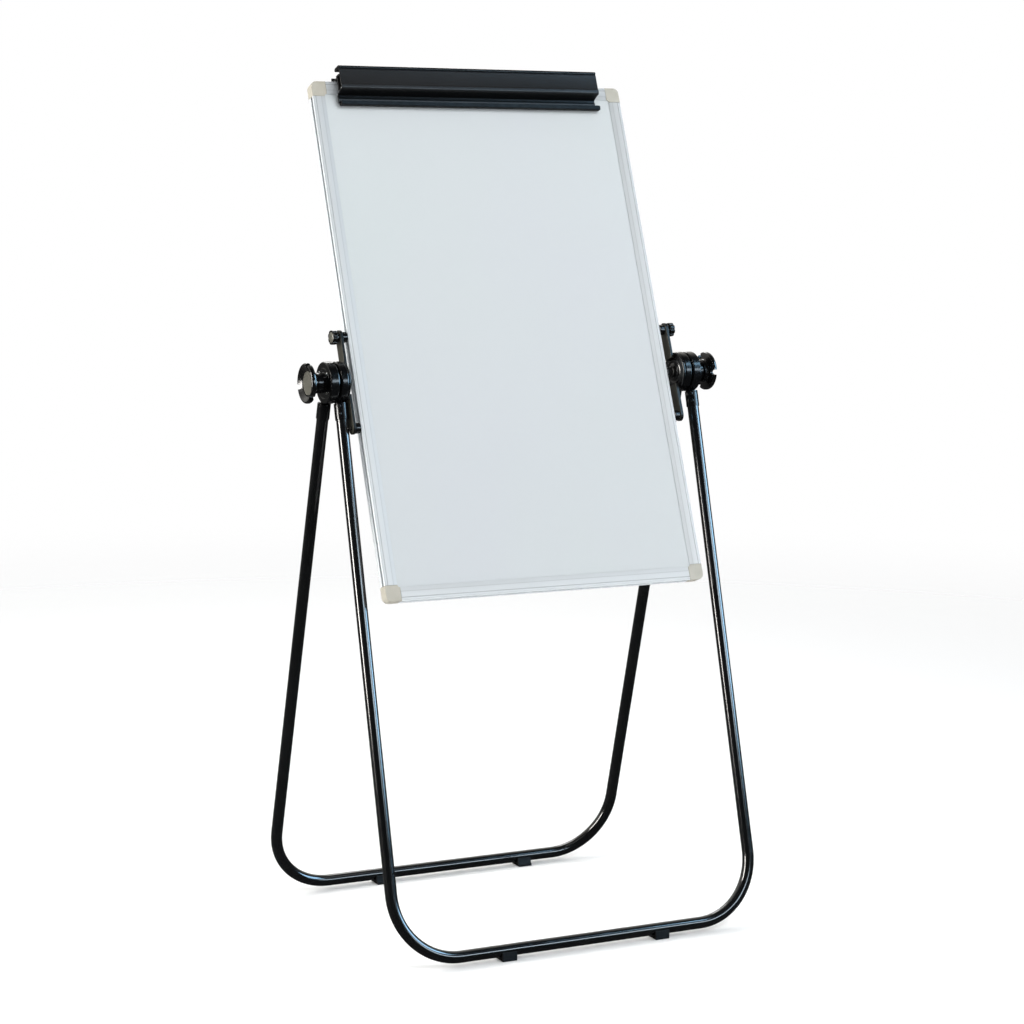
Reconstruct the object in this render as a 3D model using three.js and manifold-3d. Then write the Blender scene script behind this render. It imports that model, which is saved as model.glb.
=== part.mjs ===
// A height-adjustable whiteboard easel. Two bent-tube U legs fold about one
// cross axis, and a framed writing board tilts and slides on two pairs of arms.
// Millimetres, +Z up, -Y is the writing side, origin on the floor below the axis.
import * as THREE from 'three';
import { mergeVertices } from 'three/addons/utils/BufferGeometryUtils.js';
import Module from 'manifold-3d';

const wasm = await Module();
wasm.setup();

const deg = Math.PI / 180;
const fitGap = 0.3;

// Stand: the hub axis runs along X at this height, and the legs spread below it.
const axisHeight = 934;
const legSpread = 15.3 * deg;
const tubeRadius = 10;
const tubeWall = 1.5;
const bendRadius = 111;
const bendSteps = 9;
const roundSides = 16;
const tubeTop = 38.4;
const footRise = 5;
const railHeight = footRise + tubeRadius;
const legLength = (axisHeight - railHeight) / Math.cos(legSpread);

// Where things sit along the hub axis, measured out from the middle.
const legPitch = 20.8;
const innerLegX = 326.8;
const outerLegX = innerLegX + legPitch;
const armInnerX = 310.3;
const armOuterX = 315.3;
const discInnerX = armOuterX + 0.4;
const discOuterX = 320.8;
const innerDrumX = [321.2, 334.2];
const outerDrumX = [337.6, 353.6];
const bossEndX = 369.4;
const knobStartX = 370;
const knobEndX = 387;
const drumRadius = 35;
const pivotRadius = 4;
const pivotBore = pivotRadius + fitGap;

// Board: a panel in an extruded frame, leaning back about the hub axis.
const boardWidth = 600;
const boardHeight = 910;
const boardLean = 21.1 * deg;
const boardRise = 79.6;
const boardFront = -7;
const boardBack = 13;
const faceWidth = 23;
const cornerSize = 27;
const cornerRadius = 10;
const cornerSteps = 5;
const plugLength = 16;
const slotFloor = 8.5;
const slotFront = -5.3;
const slotBack = 5.4;
const grooveHalf = 3.2;
const halfWidth = boardWidth / 2;
const boardTop = boardRise + boardHeight / 2;
const boardBottom = boardRise - boardHeight / 2;

// Tilt arms and the fasteners that hold the board to them.
const boltRadius = 2.6;
const slotHeadFrom = halfWidth - 6;
const slotHeadTo = halfWidth - 2.6;
const armDepth = 22;
const armReach = 90;
const upperBoltZ = 78;
const lowerBoltZ = -79.6;

// Paper clamp along the top of the board, a little left of the middle.
const clampLeft = -257;
const clampRight = 242;
const clampMiddle = (clampLeft + clampRight) / 2;
const rodY = -23.6;
const rodZ = boardTop - 19;
const rodRadius = 2;
const knuckleRadius = 4.2;
const knucklePitch = 100;
const knuckleCount = 5;
const knuckleWidth = 12;

// The hand knobs stand at different turns, given in degrees.
const sides = [{ name: 'left', sign: -1, knobTurn: -15 }, { name: 'right', sign: 1, knobTurn: 180 }];

const looks = {
  blackTube: { color: 0x101114, roughness: 0.22, metalness: 0.3 },
  blackPlastic: { color: 0x161618, roughness: 0.38, metalness: 0 },
  castBlack: { color: 0x131416, roughness: 0.3, metalness: 0.2 },
  clampBlack: { color: 0x2a2c30, roughness: 0.4, metalness: 0.5 },
  rubber: { color: 0x0d0d0e, roughness: 0.75, metalness: 0 },
  silver: { color: 0xc9cccb, roughness: 0.32, metalness: 0.9 },
  brightSteel: { color: 0xd8dadb, roughness: 0.25, metalness: 1 },
  blackSteel: { color: 0x1b1b1c, roughness: 0.35, metalness: 0.7 },
  capSilver: { color: 0xa9a9a4, roughness: 0.4, metalness: 0.6 },
  cornerPlastic: { color: 0xc1bbae, roughness: 0.5, metalness: 0 },
  writing: { color: 0xd7e1e4, roughness: 0.12, metalness: 0 },
  core: { color: 0xb99f7a, roughness: 0.9, metalness: 0 },
  backing: { color: 0xb4b8ba, roughness: 0.45, metalness: 0.6 },
};

// A closed geometry as a solid that can be joined and cut.
function solidOf(geometry) {
  const bare = geometry.index ? geometry.toNonIndexed() : geometry.clone();
  bare.deleteAttribute('normal');
  bare.deleteAttribute('uv');
  const merged = mergeVertices(bare, 1e-4);
  const corners = merged.index.array;
  const kept = [];
  for (let i = 0; i < corners.length; i += 3) {
    const [a, b, c] = [corners[i], corners[i + 1], corners[i + 2]];
    if (a !== b && b !== c && c !== a) {
      kept.push(a, b, c);
    }
  }
  return new wasm.Manifold(new wasm.Mesh({
    numProp: 3,
    vertProperties: new Float32Array(merged.attributes.position.array),
    triVerts: new Uint32Array(kept),
  }));
}

function geometryOf(solid) {
  const mesh = solid.getMesh();
  const geometry = new THREE.BufferGeometry();
  geometry.setAttribute('position', new THREE.BufferAttribute(mesh.vertProperties, 3));
  geometry.setIndex(new THREE.BufferAttribute(mesh.triVerts, 1));
  geometry.computeVertexNormals();
  return geometry;
}

function piece(name, shape, look) {
  const geometry = shape.isBufferGeometry ? shape : geometryOf(shape);
  const mesh = new THREE.Mesh(geometry, new THREE.MeshStandardMaterial(looks[look]));
  mesh.name = name;
  return mesh;
}

function union(solids) {
  return solids.reduce((whole, part) => whole.add(part));
}

function ringPoints(radius, sides = roundSides) {
  const points = [];
  for (let i = 0; i < sides; i += 1) {
    const turn = (i / sides) * 2 * Math.PI;
    points.push(new THREE.Vector2(radius * Math.cos(turn), radius * Math.sin(turn)));
  }
  return points;
}

// A block between two planes on each axis, given in either order.
function box(x0, x1, y0, y1, z0, z1) {
  const size = [x1 - x0, y1 - y0, z1 - z0].map(Math.abs);
  const geometry = new THREE.BoxGeometry(...size);
  geometry.translate((x0 + x1) / 2, (y0 + y1) / 2, (z0 + z1) / 2);
  return geometry;
}

function shapeOf(points, holes = []) {
  const outline = points.map(([a, b]) => new THREE.Vector2(a, b));
  const shape = new THREE.Shape(THREE.ShapeUtils.isClockWise(outline) ? outline.reverse() : outline);
  for (const hole of holes) {
    shape.holes.push(new THREE.Path(hole.map(([a, b]) => new THREE.Vector2(a, b))));
  }
  return shape;
}

// A section drawn in (y, z), extruded along X from x0 to x1.
function extrudeX(shape, x0, x1) {
  const geometry = new THREE.ExtrudeGeometry(shape, { depth: x1 - x0, bevelEnabled: false });
  const axes = new THREE.Matrix4().makeBasis(
    new THREE.Vector3(0, 1, 0),
    new THREE.Vector3(0, 0, 1),
    new THREE.Vector3(1, 0, 0),
  );
  geometry.applyMatrix4(axes);
  geometry.translate(x0, 0, 0);
  return geometry;
}

// A section drawn in (x, z), extruded along Y from y0 to y1.
function extrudeY(shape, y0, y1) {
  const geometry = new THREE.ExtrudeGeometry(shape, { depth: y1 - y0, bevelEnabled: false });
  const axes = new THREE.Matrix4().makeBasis(
    new THREE.Vector3(1, 0, 0),
    new THREE.Vector3(0, 0, 1),
    new THREE.Vector3(0, -1, 0),
  );
  geometry.applyMatrix4(axes);
  geometry.translate(0, y1, 0);
  return geometry;
}

// A section drawn in (x, y), extruded along Z from z0 to z1.
function extrudeZ(shape, z0, z1) {
  const geometry = new THREE.ExtrudeGeometry(shape, { depth: z1 - z0, bevelEnabled: false });
  geometry.translate(0, 0, z0);
  return geometry;
}

// A turned piece on the X axis, its profile given as [radius, distance out].
function turnedX(profile, sign, sides = 24) {
  const points = profile.map(([radius, out]) => new THREE.Vector2(radius, out));
  const geometry = new THREE.LatheGeometry(points, sides);
  geometry.rotateZ(-sign * 90 * deg);
  return solidOf(geometry);
}

// Lathe profiles must run so that faces point out: up the axis, then back out.
function discX(radius, from, to, sign, sides = roundSides) {
  return turnedX([[0, from], [radius, from], [radius, to], [0, to]], sign, sides);
}

function bevelDiscX(radius, from, to, bevel, sign, sides = 20) {
  const profile = [
    [0, from],
    [radius - bevel, from],
    [radius, from + bevel],
    [radius, to - bevel],
    [radius - bevel, to],
    [0, to],
  ];
  return turnedX(profile, sign, sides);
}

function rodBetween(radius, start, end, sides = roundSides) {
  const along = new THREE.Vector3().subVectors(end, start);
  const geometry = new THREE.CylinderGeometry(radius, radius, along.length(), sides);
  const turn = new THREE.Quaternion();
  turn.setFromUnitVectors(new THREE.Vector3(0, 1, 0), along.clone().normalize());
  geometry.applyQuaternion(turn);
  const middle = new THREE.Vector3().addVectors(start, end).multiplyScalar(0.5);
  geometry.translate(middle.x, middle.y, middle.z);
  return solidOf(geometry);
}

function xCylinder(radius, x0, x1, y, z, sides = roundSides) {
  return rodBetween(radius, new THREE.Vector3(x0, y, z), new THREE.Vector3(x1, y, z), sides);
}

function zCylinder(radius, x, z0, z1, sides = 12) {
  return rodBetween(radius, new THREE.Vector3(x, 0, z0), new THREE.Vector3(x, 0, z1), sides);
}

// ---- legs -------------------------------------------------------------------

// The centre line of a U leg, drawn below the hub axis in the leg's own plane.
// Samples fall evenly per stretch, so bends get many and straights get one.
class LegLine extends THREE.Curve {
  constructor(leftX, rightX) {
    super();
    this.leftX = leftX;
    this.rightX = rightX;
    this.steps = 3 + 2 * bendSteps;
  }

  getUtoTmapping(u) {
    return u;
  }

  getPoint(t, target = new THREE.Vector3()) {
    const straightEnd = -(legLength - bendRadius);
    const station = t * this.steps;
    const railStart = 1 + bendSteps;
    const railEnd = railStart + 1;
    const secondEnd = railEnd + bendSteps;
    if (station <= 1) {
      return target.set(this.leftX, 0, -tubeTop + station * (straightEnd + tubeTop));
    }
    if (station <= railStart) {
      const turn = ((station - 1) / bendSteps) * 90 * deg;
      const x = this.leftX + bendRadius * (1 - Math.cos(turn));
      return target.set(x, 0, straightEnd - bendRadius * Math.sin(turn));
    }
    if (station <= railEnd) {
      const from = this.leftX + bendRadius;
      const to = this.rightX - bendRadius;
      return target.set(from + (station - railStart) * (to - from), 0, -legLength);
    }
    if (station <= secondEnd) {
      const turn = ((station - railEnd) / bendSteps) * 90 * deg;
      const x = this.rightX - bendRadius * (1 - Math.sin(turn));
      return target.set(x, 0, straightEnd - bendRadius * Math.cos(turn));
    }
    return target.set(this.rightX, 0, straightEnd - (station - secondEnd) * (straightEnd + tubeTop));
  }
}

const screwDepths = [41, 54];
const screwTurn = 35 * deg;
const screwShank = 1.6;
const screwHole = 1.9;
const collarRadius = 11.3;
const collarBore = 10.45;
const collarStart = drumRadius + 0.4;
const collarEnd = 63;
const spigotEnd = 76;
const spigotRadius = 8.1;
const neckRadius = 5.5;

// A point on a leg screw's line, this far out from the tube's middle. The screws
// enter from the leg's outward side (facing is -1 or 1 in Y), turned round the tube
// but short of the flat that the other leg passes.
function screwPoint(x, facing, depth, out) {
  const across = facing * out * Math.sin(screwTurn);
  return new THREE.Vector3(x + across, facing * out * Math.cos(screwTurn), -depth);
}

function screwHoles(x, facing) {
  return screwDepths.map((depth) => rodBetween(
    screwHole,
    screwPoint(x, facing, depth, 3),
    screwPoint(x, facing, depth, 16),
    8,
  ));
}

function legTube(leftX, rightX, facing) {
  const section = new THREE.Shape(ringPoints(tubeRadius));
  section.holes.push(new THREE.Path(ringPoints(tubeRadius - tubeWall)));
  const line = new LegLine(leftX, rightX);
  const geometry = new THREE.ExtrudeGeometry(section, {
    steps: line.steps,
    extrudePath: line,
    bevelEnabled: false,
  });
  let tube = solidOf(geometry);
  for (const hole of [...screwHoles(leftX, facing), ...screwHoles(rightX, facing)]) {
    tube = tube.subtract(hole);
  }
  return tube;
}

// A hub drum with a spigot inside the tube and a thin collar around it. The
// collar is cut flat where the other leg passes when the stand is folded.
function legHub(sign, outer, facing) {
  const [from, to] = outer ? outerDrumX : innerDrumX;
  const x = sign * (outer ? outerLegX : innerLegX);
  let hub = bevelDiscX(drumRadius, from, to, 1.6, sign, 32);
  const turnBack = -facing * legSpread;
  if (outer) {
    hub = hub.add(discX(14, innerDrumX[1] + fitGap, from + 1, sign));
    hub = hub.add(bevelDiscX(17, to - 1, bossEndX, 1.2, sign));
    hub = hub.add(outerRivets(to, sign, turnBack));
  }
  const down = (radius, start, end, sides) => rodBetween(
    radius,
    new THREE.Vector3(x, 0, -start),
    new THREE.Vector3(x, 0, -end),
    sides,
  );
  const neck = down(neckRadius, drumRadius - 10, tubeTop, 12);
  const collar = down(collarRadius, collarStart, collarEnd, 20)
    .subtract(down(collarBore, tubeTop - fitGap, collarEnd + 1, 20));
  const spigot = down(spigotRadius, collarStart, spigotEnd, roundSides);
  const towardLeg = Math.sign(sign * (outer ? innerLegX : outerLegX) - x);
  const flat = x + towardLeg * (tubeRadius + 0.2);
  const beyond = solidOf(box(flat, flat + towardLeg * 20, -20, 20, -collarEnd - 2, -10));
  hub = union([hub, neck, collar.subtract(beyond), spigot]);
  for (const hole of screwHoles(x, facing)) {
    hub = hub.subtract(hole);
  }
  return hub.subtract(discX(pivotBore, from - 10, bossEndX + 5, sign));
}

const rivetCircle = 22;

// Four domed rivets on the outer drum's face, square to the floor.
function outerRivets(face, sign, turnBack) {
  const heads = [];
  for (let i = 0; i < 4; i += 1) {
    const turn = (45 + 90 * i) * deg + turnBack;
    const y = rivetCircle * Math.cos(turn);
    const z = rivetCircle * Math.sin(turn);
    heads.push(xCylinder(3, sign * (face - 1), sign * (face + 1.4), y, z, 8));
  }
  return union(heads);
}

// A domed screw head outside the collar with its shank through the tube wall.
function legScrew(x, facing, depth) {
  const at = (out) => screwPoint(x, facing, depth, out);
  const head = rodBetween(3.2, at(collarRadius + 0.3), at(collarRadius + 1.7), 12);
  const crown = rodBetween(2.2, at(collarRadius + 1), at(collarRadius + 2.3), 12);
  const shank = rodBetween(screwShank, at(5), at(collarRadius + 1), 8);
  return union([head, crown, shank]);
}

// A saddle foot clipped under the rail. Its flat pad reaches back under the leg.
function saddleFoot(middleX, facing) {
  const railY = facing * Math.sin(legSpread) * legLength;
  const length = 26;
  const out = 13;
  const back = 18;
  const cheek = tubeRadius + 2.8;
  const cradle = tubeRadius + 0.4;
  const points = [[-back, 0], [out, 0], [out, 3], [cheek, railHeight]];
  const arcSteps = 12;
  for (let i = 0; i <= arcSteps; i += 1) {
    const turn = (i / arcSteps) * Math.PI;
    points.push([cradle * Math.cos(turn), railHeight - cradle * Math.sin(turn)]);
  }
  points.push([-cheek, railHeight], [-back, 3]);
  const placed = points.map(([across, z]) => [railY + facing * across, z]);
  return extrudeX(shapeOf(placed), middleX - length / 2, middleX + length / 2);
}

function addLeg(group, name, facing, leftOuter, footPositions) {
  const leftX = leftOuter ? -outerLegX : -innerLegX;
  const rightX = leftOuter ? innerLegX : outerLegX;
  const leg = new THREE.Group();
  leg.position.z = axisHeight;
  leg.rotation.x = facing * legSpread;
  leg.add(piece(`leg_${name}_tube`, legTube(leftX, rightX, facing), 'blackTube'));
  leg.add(piece(`hub_${name}_left`, legHub(-1, leftOuter, facing), 'castBlack'));
  leg.add(piece(`hub_${name}_right`, legHub(1, !leftOuter, facing), 'castBlack'));
  for (const [side, x] of [['left', leftX], ['right', rightX]]) {
    screwDepths.forEach((depth, i) => {
      const label = `screw_${name}_${side}_${i + 1}`;
      leg.add(piece(label, legScrew(x, facing, depth), 'blackSteel'));
    });
  }
  group.add(leg);
  for (const [side, x] of Object.entries(footPositions)) {
    group.add(piece(`foot_${name}_${side}`, saddleFoot(x, facing), 'rubber'));
  }
}

// ---- hub fittings -----------------------------------------------------------

const plateauRadius = 21.5;
const flangeRadius = drumRadius - 0.5;
const flangeX = discInnerX + 1.5;

// The disc that carries the two arms: a raised centre with a ring groove.
function tiltDisc(sign) {
  const profile = [
    [0, discInnerX],
    [16, discInnerX],
    [16, discInnerX + 1.2],
    [18, discInnerX + 1.2],
    [18, discInnerX],
    [plateauRadius, discInnerX],
    [plateauRadius + 1.5, flangeX],
    [flangeRadius - 1.5, flangeX],
    [flangeRadius, flangeX + 1],
    [flangeRadius, discOuterX],
    [0, discOuterX],
  ];
  return turnedX(profile, sign, 28);
}

// A flat arm with a round end, from the disc's flange to a board bolt. A lug on
// its outer face joins it to the flange. It points up when way is 1, else down.
function tiltArm(sign, way, boltZ) {
  const radius = armDepth / 2;
  const start = plateauRadius + 1.8;
  const roundFrom = armReach - radius;
  const [lowX, highX] = sign < 0 ? [-armOuterX, -armInnerX] : [armInnerX, armOuterX];
  const points = [[radius, way * start]];
  const arcSteps = 8;
  for (let i = 0; i <= arcSteps; i += 1) {
    const turn = (i / arcSteps) * Math.PI;
    points.push([radius * Math.cos(turn), way * (roundFrom + radius * Math.sin(turn))]);
  }
  points.push([-radius, way * start]);
  const lug = box(
    sign * (armOuterX - 1),
    sign * (flangeX + 1),
    -radius + 1,
    radius - 1,
    way * start,
    way * (flangeRadius - 3),
  );
  return solidOf(extrudeX(shapeOf(points), lowX, highX))
    .add(solidOf(lug))
    .subtract(xCylinder(boltRadius + fitGap, lowX - 1, highX + 1, 0, boltZ, 12));
}

function tiltBracket(sign) {
  return tiltDisc(sign)
    .add(tiltArm(sign, 1, upperBoltZ))
    .add(tiltArm(sign, -1, lowerBoltZ))
    .subtract(discX(pivotBore, discInnerX - 2, discOuterX + 2, sign));
}

const pivotStartX = 303.4;
const pivotEndX = knobEndX - 9.4;
const nutEndX = 304.7;

function pivotBolt(sign) {
  return bevelDiscX(pivotRadius, pivotStartX, pivotEndX, 0.8, sign, roundSides);
}

// The round collar and hexagonal nut on the pivot bolt, against the disc.
function pivotNut(sign) {
  return bevelDiscX(10.5, armInnerX, discInnerX - fitGap, 0.8, sign)
    .add(discX(8, nutEndX, armInnerX + 0.5, sign, 6))
    .subtract(discX(pivotBore, nutEndX - 1, discInnerX + 1, sign));
}

// A bolt whose flat head rides in the frame's side channel.
function channelBolt(sign, z, end, headEnd) {
  const plate = solidOf(box(sign * slotHeadFrom, sign * slotHeadTo, -4.6, 4.6, z - 6, z + 6));
  const shank = xCylinder(boltRadius, sign * (slotHeadFrom + 1), sign * end, 0, z, 12);
  if (!headEnd) {
    return plate.add(shank);
  }
  const head = xCylinder(5, sign * (armOuterX + 0.2), sign * headEnd, 0, z, 16);
  return union([plate, shank, head]);
}

function spacer(sign, z) {
  const from = halfWidth + 0.4;
  const to = armInnerX - fitGap;
  const outer = xCylinder(9, sign * from, sign * to, 0, z, 20);
  return outer.subtract(xCylinder(boltRadius + fitGap, sign * (from - 1), sign * (to + 1), 0, z, 12));
}

const knobNotches = 3;
const notchHalf = 4.6;
const notchFloor = 24;
const knobRadius = 33.5;
const capRadius = 20;
const capSeat = knobEndX - 7.4;
const dishFloor = capSeat + 2;

// A dished hand knob with three narrow notches in its rim, a round neck and a seat for
// its cap. The first notch stands at the angle turned from +Y towards +Z.
function handKnob(sign, turned) {
  const profile = [
    [0, knobStartX],
    [20, knobStartX],
    [20, knobStartX + 5.6],
    [24, knobStartX + 7.6],
    [knobRadius - 2, knobStartX + 8.2],
    [knobRadius, knobStartX + 10.2],
    [knobRadius, knobEndX - 3],
    [knobRadius - 1, knobEndX - 0.8],
    [knobRadius - 3, knobEndX],
    [capRadius + 2, dishFloor],
    [capRadius + 0.4, dishFloor],
    [capRadius + 0.4, capSeat],
    [0, capSeat],
  ];
  let knob = turnedX(profile, sign, 36);
  const [from, to] = [sign * (knobStartX + 5), sign * (knobEndX + 2)];
  const slot = solidOf(box(from, to, notchFloor + notchHalf, knobRadius + 3, -notchHalf, notchHalf))
    .add(xCylinder(notchHalf, from, to, notchFloor + notchHalf, 0, 12));
  for (let i = 0; i < knobNotches; i += 1) {
    const turn = turned + (i / knobNotches) * 360;
    knob = knob.subtract(slot.rotate([turn, 0, 0]));
  }
  return knob.subtract(discX(pivotBore, knobStartX - 1, pivotEndX + fitGap, sign));
}

function knobCap(sign) {
  const profile = [
    [0, capSeat + fitGap],
    [capRadius, capSeat + fitGap],
    [capRadius, capSeat + 1.4],
    [capRadius - 1, capSeat + 2],
    [0, capSeat + 2],
  ];
  return turnedX(profile, sign, 28);
}

const thumbRadius = 12.2;
const thumbEndX = 328.2;
const thumbLobes = 6;

// A small thumb knob outside the arm, fluted, with a recess for its cap.
function thumbKnob(sign) {
  const start = armOuterX + 0.4;
  const profile = [
    [0, start],
    [7.5, start],
    [7.5, start + 3.2],
    [thumbRadius - 1.4, start + 4.6],
    [thumbRadius, start + 6],
    [thumbRadius, thumbEndX - 1.4],
    [thumbRadius - 1.2, thumbEndX],
    [9.6, thumbEndX],
    [9.6, thumbEndX - 1.4],
    [0, thumbEndX - 1.4],
  ];
  let knob = turnedX(profile, sign, 24);
  for (let i = 0; i < thumbLobes; i += 1) {
    const turn = ((i + 0.5) / thumbLobes) * 2 * Math.PI;
    const y = (thumbRadius + 0.9) * Math.cos(turn);
    const z = (thumbRadius + 0.9) * Math.sin(turn);
    knob = knob.subtract(xCylinder(2, sign * (start + 3), sign * (thumbEndX + 1), y, z, 8));
  }
  return knob.subtract(discX(boltRadius + fitGap, start - 1, thumbEndX - 4, sign, 12));
}

function thumbCap(sign) {
  const seat = thumbEndX - 1.4 + fitGap;
  return turnedX([[0, seat], [9.2, seat], [9.2, seat + 1], [7, seat + 1.8], [0, seat + 2]], sign);
}

function movedZ(solid, z) {
  return solid.translate([0, 0, z]);
}

// ---- board ------------------------------------------------------------------

// The frame section as [distance in from the outer edge, y], before its cuts.
const frameOutline = [
  [0, boardFront],
  [16.5, boardFront],
  [faceWidth, boardFront + 0.8],
  [faceWidth, slotFront],
  [slotFloor, slotFront],
  [slotFloor, slotBack],
  [faceWidth - 2, slotBack],
  [faceWidth - 2, slotBack + 1.6],
  [15, boardBack],
  [0, boardBack],
];

// What is cut from that section, each as [inset from, to, y from, to]: a line
// in the face, the two steps of the T channel in the edge, and a hollow.
const faceGroove = [5.1, 6.3, boardFront - 1, boardFront + 0.6];
const channelMouth = [-1, 2, -grooveHalf, grooveHalf];
const channelWide = [1.8, 6.8, -grooveHalf - 2, grooveHalf + 2];
const frameHollow = [1.6, 12.6, 7, 11.4];
const frameCuts = [faceGroove, channelMouth, channelWide, frameHollow];

function frameMember(extrude, place, end) {
  let member = solidOf(extrude(shapeOf(frameOutline.map(place)), ...end));
  const past = [end[0] - 1, end[1] + 1];
  for (const [in0, in1, y0, y1] of frameCuts) {
    const outline = [[in0, y0], [in1, y0], [in1, y1], [in0, y1]];
    member = member.subtract(solidOf(extrude(shapeOf(outline.map(place)), ...past)));
  }
  return member;
}

function sideFrame(sign) {
  const place = ([inset, y]) => [sign * (halfWidth - inset), y];
  const end = cornerSize + fitGap;
  return frameMember(extrudeZ, place, [boardBottom + end, boardTop - end]);
}

function crossFrame(atTop) {
  const edge = atTop ? boardTop : boardBottom;
  const inward = atTop ? -1 : 1;
  const place = ([inset, y]) => [y, edge + inward * inset];
  const end = halfWidth - cornerSize - fitGap;
  return frameMember(extrudeX, place, [-end, end]);
}

// A moulded corner: rounded outside, bitten out inside, pocketed for the panel,
// with a plug that enters the hollow of each frame member it joins.
function frameCorner(signX, atTop) {
  const signZ = atTop ? 1 : -1;
  const edgeZ = atTop ? boardTop : boardBottom;
  const toBoard = ([inX, inZ]) => [signX * (halfWidth - inX), edgeZ - signZ * inZ];
  const bite = cornerSize - faceWidth;
  const outline = [[cornerSize, 0]];
  for (let i = 0; i <= cornerSteps; i += 1) {
    const turn = (i / cornerSteps) * 90 * deg;
    outline.push([cornerSize - bite * Math.sin(turn), cornerSize - bite * Math.cos(turn)]);
  }
  outline.push([0, cornerSize]);
  for (let i = 0; i <= cornerSteps; i += 1) {
    const turn = (i / cornerSteps) * 90 * deg;
    outline.push([cornerRadius * (1 - Math.cos(turn)), cornerRadius * (1 - Math.sin(turn))]);
  }
  const block = (inX0, inX1, inZ0, inZ1, y0, y1) => {
    const [x0, z0] = toBoard([inX0, inZ0]);
    const [x1, z1] = toBoard([inX1, inZ1]);
    return solidOf(box(x0, x1, y0, y1, z0, z1));
  };
  const beyond = cornerSize + 5;
  const pocket = block(slotFloor, beyond, slotFloor, beyond, slotFront, slotBack);
  const plugEnd = cornerSize + plugLength;
  const [in0, in1] = [frameHollow[0] + fitGap, frameHollow[1] - fitGap];
  const [y0, y1] = [frameHollow[2] + fitGap, frameHollow[3] - fitGap];
  return solidOf(extrudeY(shapeOf(outline.map(toBoard)), boardFront, boardBack))
    .subtract(pocket)
    .add(block(in0, in1, cornerSize - 2, plugEnd, y0, y1))
    .add(block(cornerSize - 2, plugEnd, in0, in1, y0, y1));
}

function panelSheet(front, back) {
  const inset = slotFloor + fitGap;
  const reach = halfWidth - inset;
  return box(-reach, reach, front, back, boardBottom + inset, boardTop - inset);
}

// ---- paper clamp ------------------------------------------------------------

// Clamp sections are [distance ahead of the board's middle, height above its top].
function clampSection(points) {
  return shapeOf(points.map(([ahead, up]) => [-ahead, boardTop + up]));
}

// The jaw plate: a round bead along its top, a plain face, a rib, and a lip for the strip.
const jawSection = [
  [18.6, 12.4],
  [16.4, 13.6],
  [15.6, 15.5],
  [16.4, 17.4],
  [18.6, 18.6],
  [33.8, 18.6],
  [36, 17.4],
  [36.8, 15.5],
  [36, 13.4],
  [34.9, 12.3],
  [36, 11.2],
  [36, -15],
  [37.4, -17],
  [37.4, -22.4],
  [35.4, -24.8],
  [24, -26.4],
  [17.6, -28.4],
  [15.8, -31],
  [15.6, -43.2],
  [12.4, -43.2],
  [12.4, -30],
  [15.6, -26],
  [23.6, -23.9],
  [33.8, -22.4],
  [34.8, -21.4],
  [34.8, -18],
  [33.4, -16],
  [33.4, 10.6],
  [31.6, 12.4],
];

const stripSection = [
  [7.4, -44],
  [9.4, -46],
  [16.8, -46],
  [18, -44.8],
  [18, -38.5],
  [15.9, -38.5],
  [15.9, -43.5],
  [12.1, -43.5],
  [12.1, -36],
  [9.4, -36],
  [7.4, -40],
];

const baseSection = [
  [-7, 0.6],
  [15.5, 0.6],
  [15.5, -20],
  [19, -20],
  [19, 3.6],
  [25, 3.6],
  [25, 6.4],
  [14, 6.4],
  [14, 3.6],
  [-4.4, 3.6],
  [-4.4, 10.4],
  [-7, 10.4],
];

function knuckleStations() {
  const stations = [];
  for (let i = 0; i < knuckleCount; i += 1) {
    stations.push(clampMiddle + (i - (knuckleCount - 1) / 2) * knucklePitch);
  }
  return stations;
}

// Hinge knuckles joined to a clamp section: a barrel and the web that holds it.
function withKnuckles(section, [x0, x1], spans, webFrom, webTo) {
  let solid = solidOf(extrudeX(clampSection(section), x0, x1));
  for (const [from, to] of spans) {
    solid = solid.add(xCylinder(knuckleRadius, from, to, rodY, rodZ, 12));
    solid = solid.add(solidOf(box(from, to, -webFrom, -webTo, rodZ - 2, rodZ + 2)));
  }
  return solid.subtract(xCylinder(rodRadius + fitGap, x0 - 1, x1 + 1, rodY, rodZ, 12));
}

function clampJaw() {
  const spans = knuckleStations().map((x) => [x + fitGap / 2, x + fitGap / 2 + knuckleWidth]);
  return withKnuckles(jawSection, [clampLeft, clampRight], spans, -rodY, 36);
}

const clampScrewX = [clampMiddle - 150, clampMiddle + 150];

function clampBase() {
  const spans = knuckleStations().map((x) => [x - fitGap / 2 - knuckleWidth, x - fitGap / 2]);
  let base = withKnuckles(baseSection, [clampLeft + 2, clampRight - 2], spans, 16, -rodY);
  for (const x of clampScrewX) {
    base = base.subtract(zCylinder(2 + fitGap, x, boardTop, boardTop + 5));
  }
  return base;
}

// A pan-head screw through the clamp base into a nut in the frame's channel.
function clampScrew(x) {
  const head = zCylinder(3.9, x, boardTop + 3.8, boardTop + 5.4);
  const crown = zCylinder(2.8, x, boardTop + 5, boardTop + 6.2);
  const shank = zCylinder(2, x, boardTop - 5, boardTop + 4);
  const nut = solidOf(box(x - 5, x + 5, -4.6, 4.6, boardTop - 6, boardTop - 2.6));
  return union([head, crown, shank, nut]);
}

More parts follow.
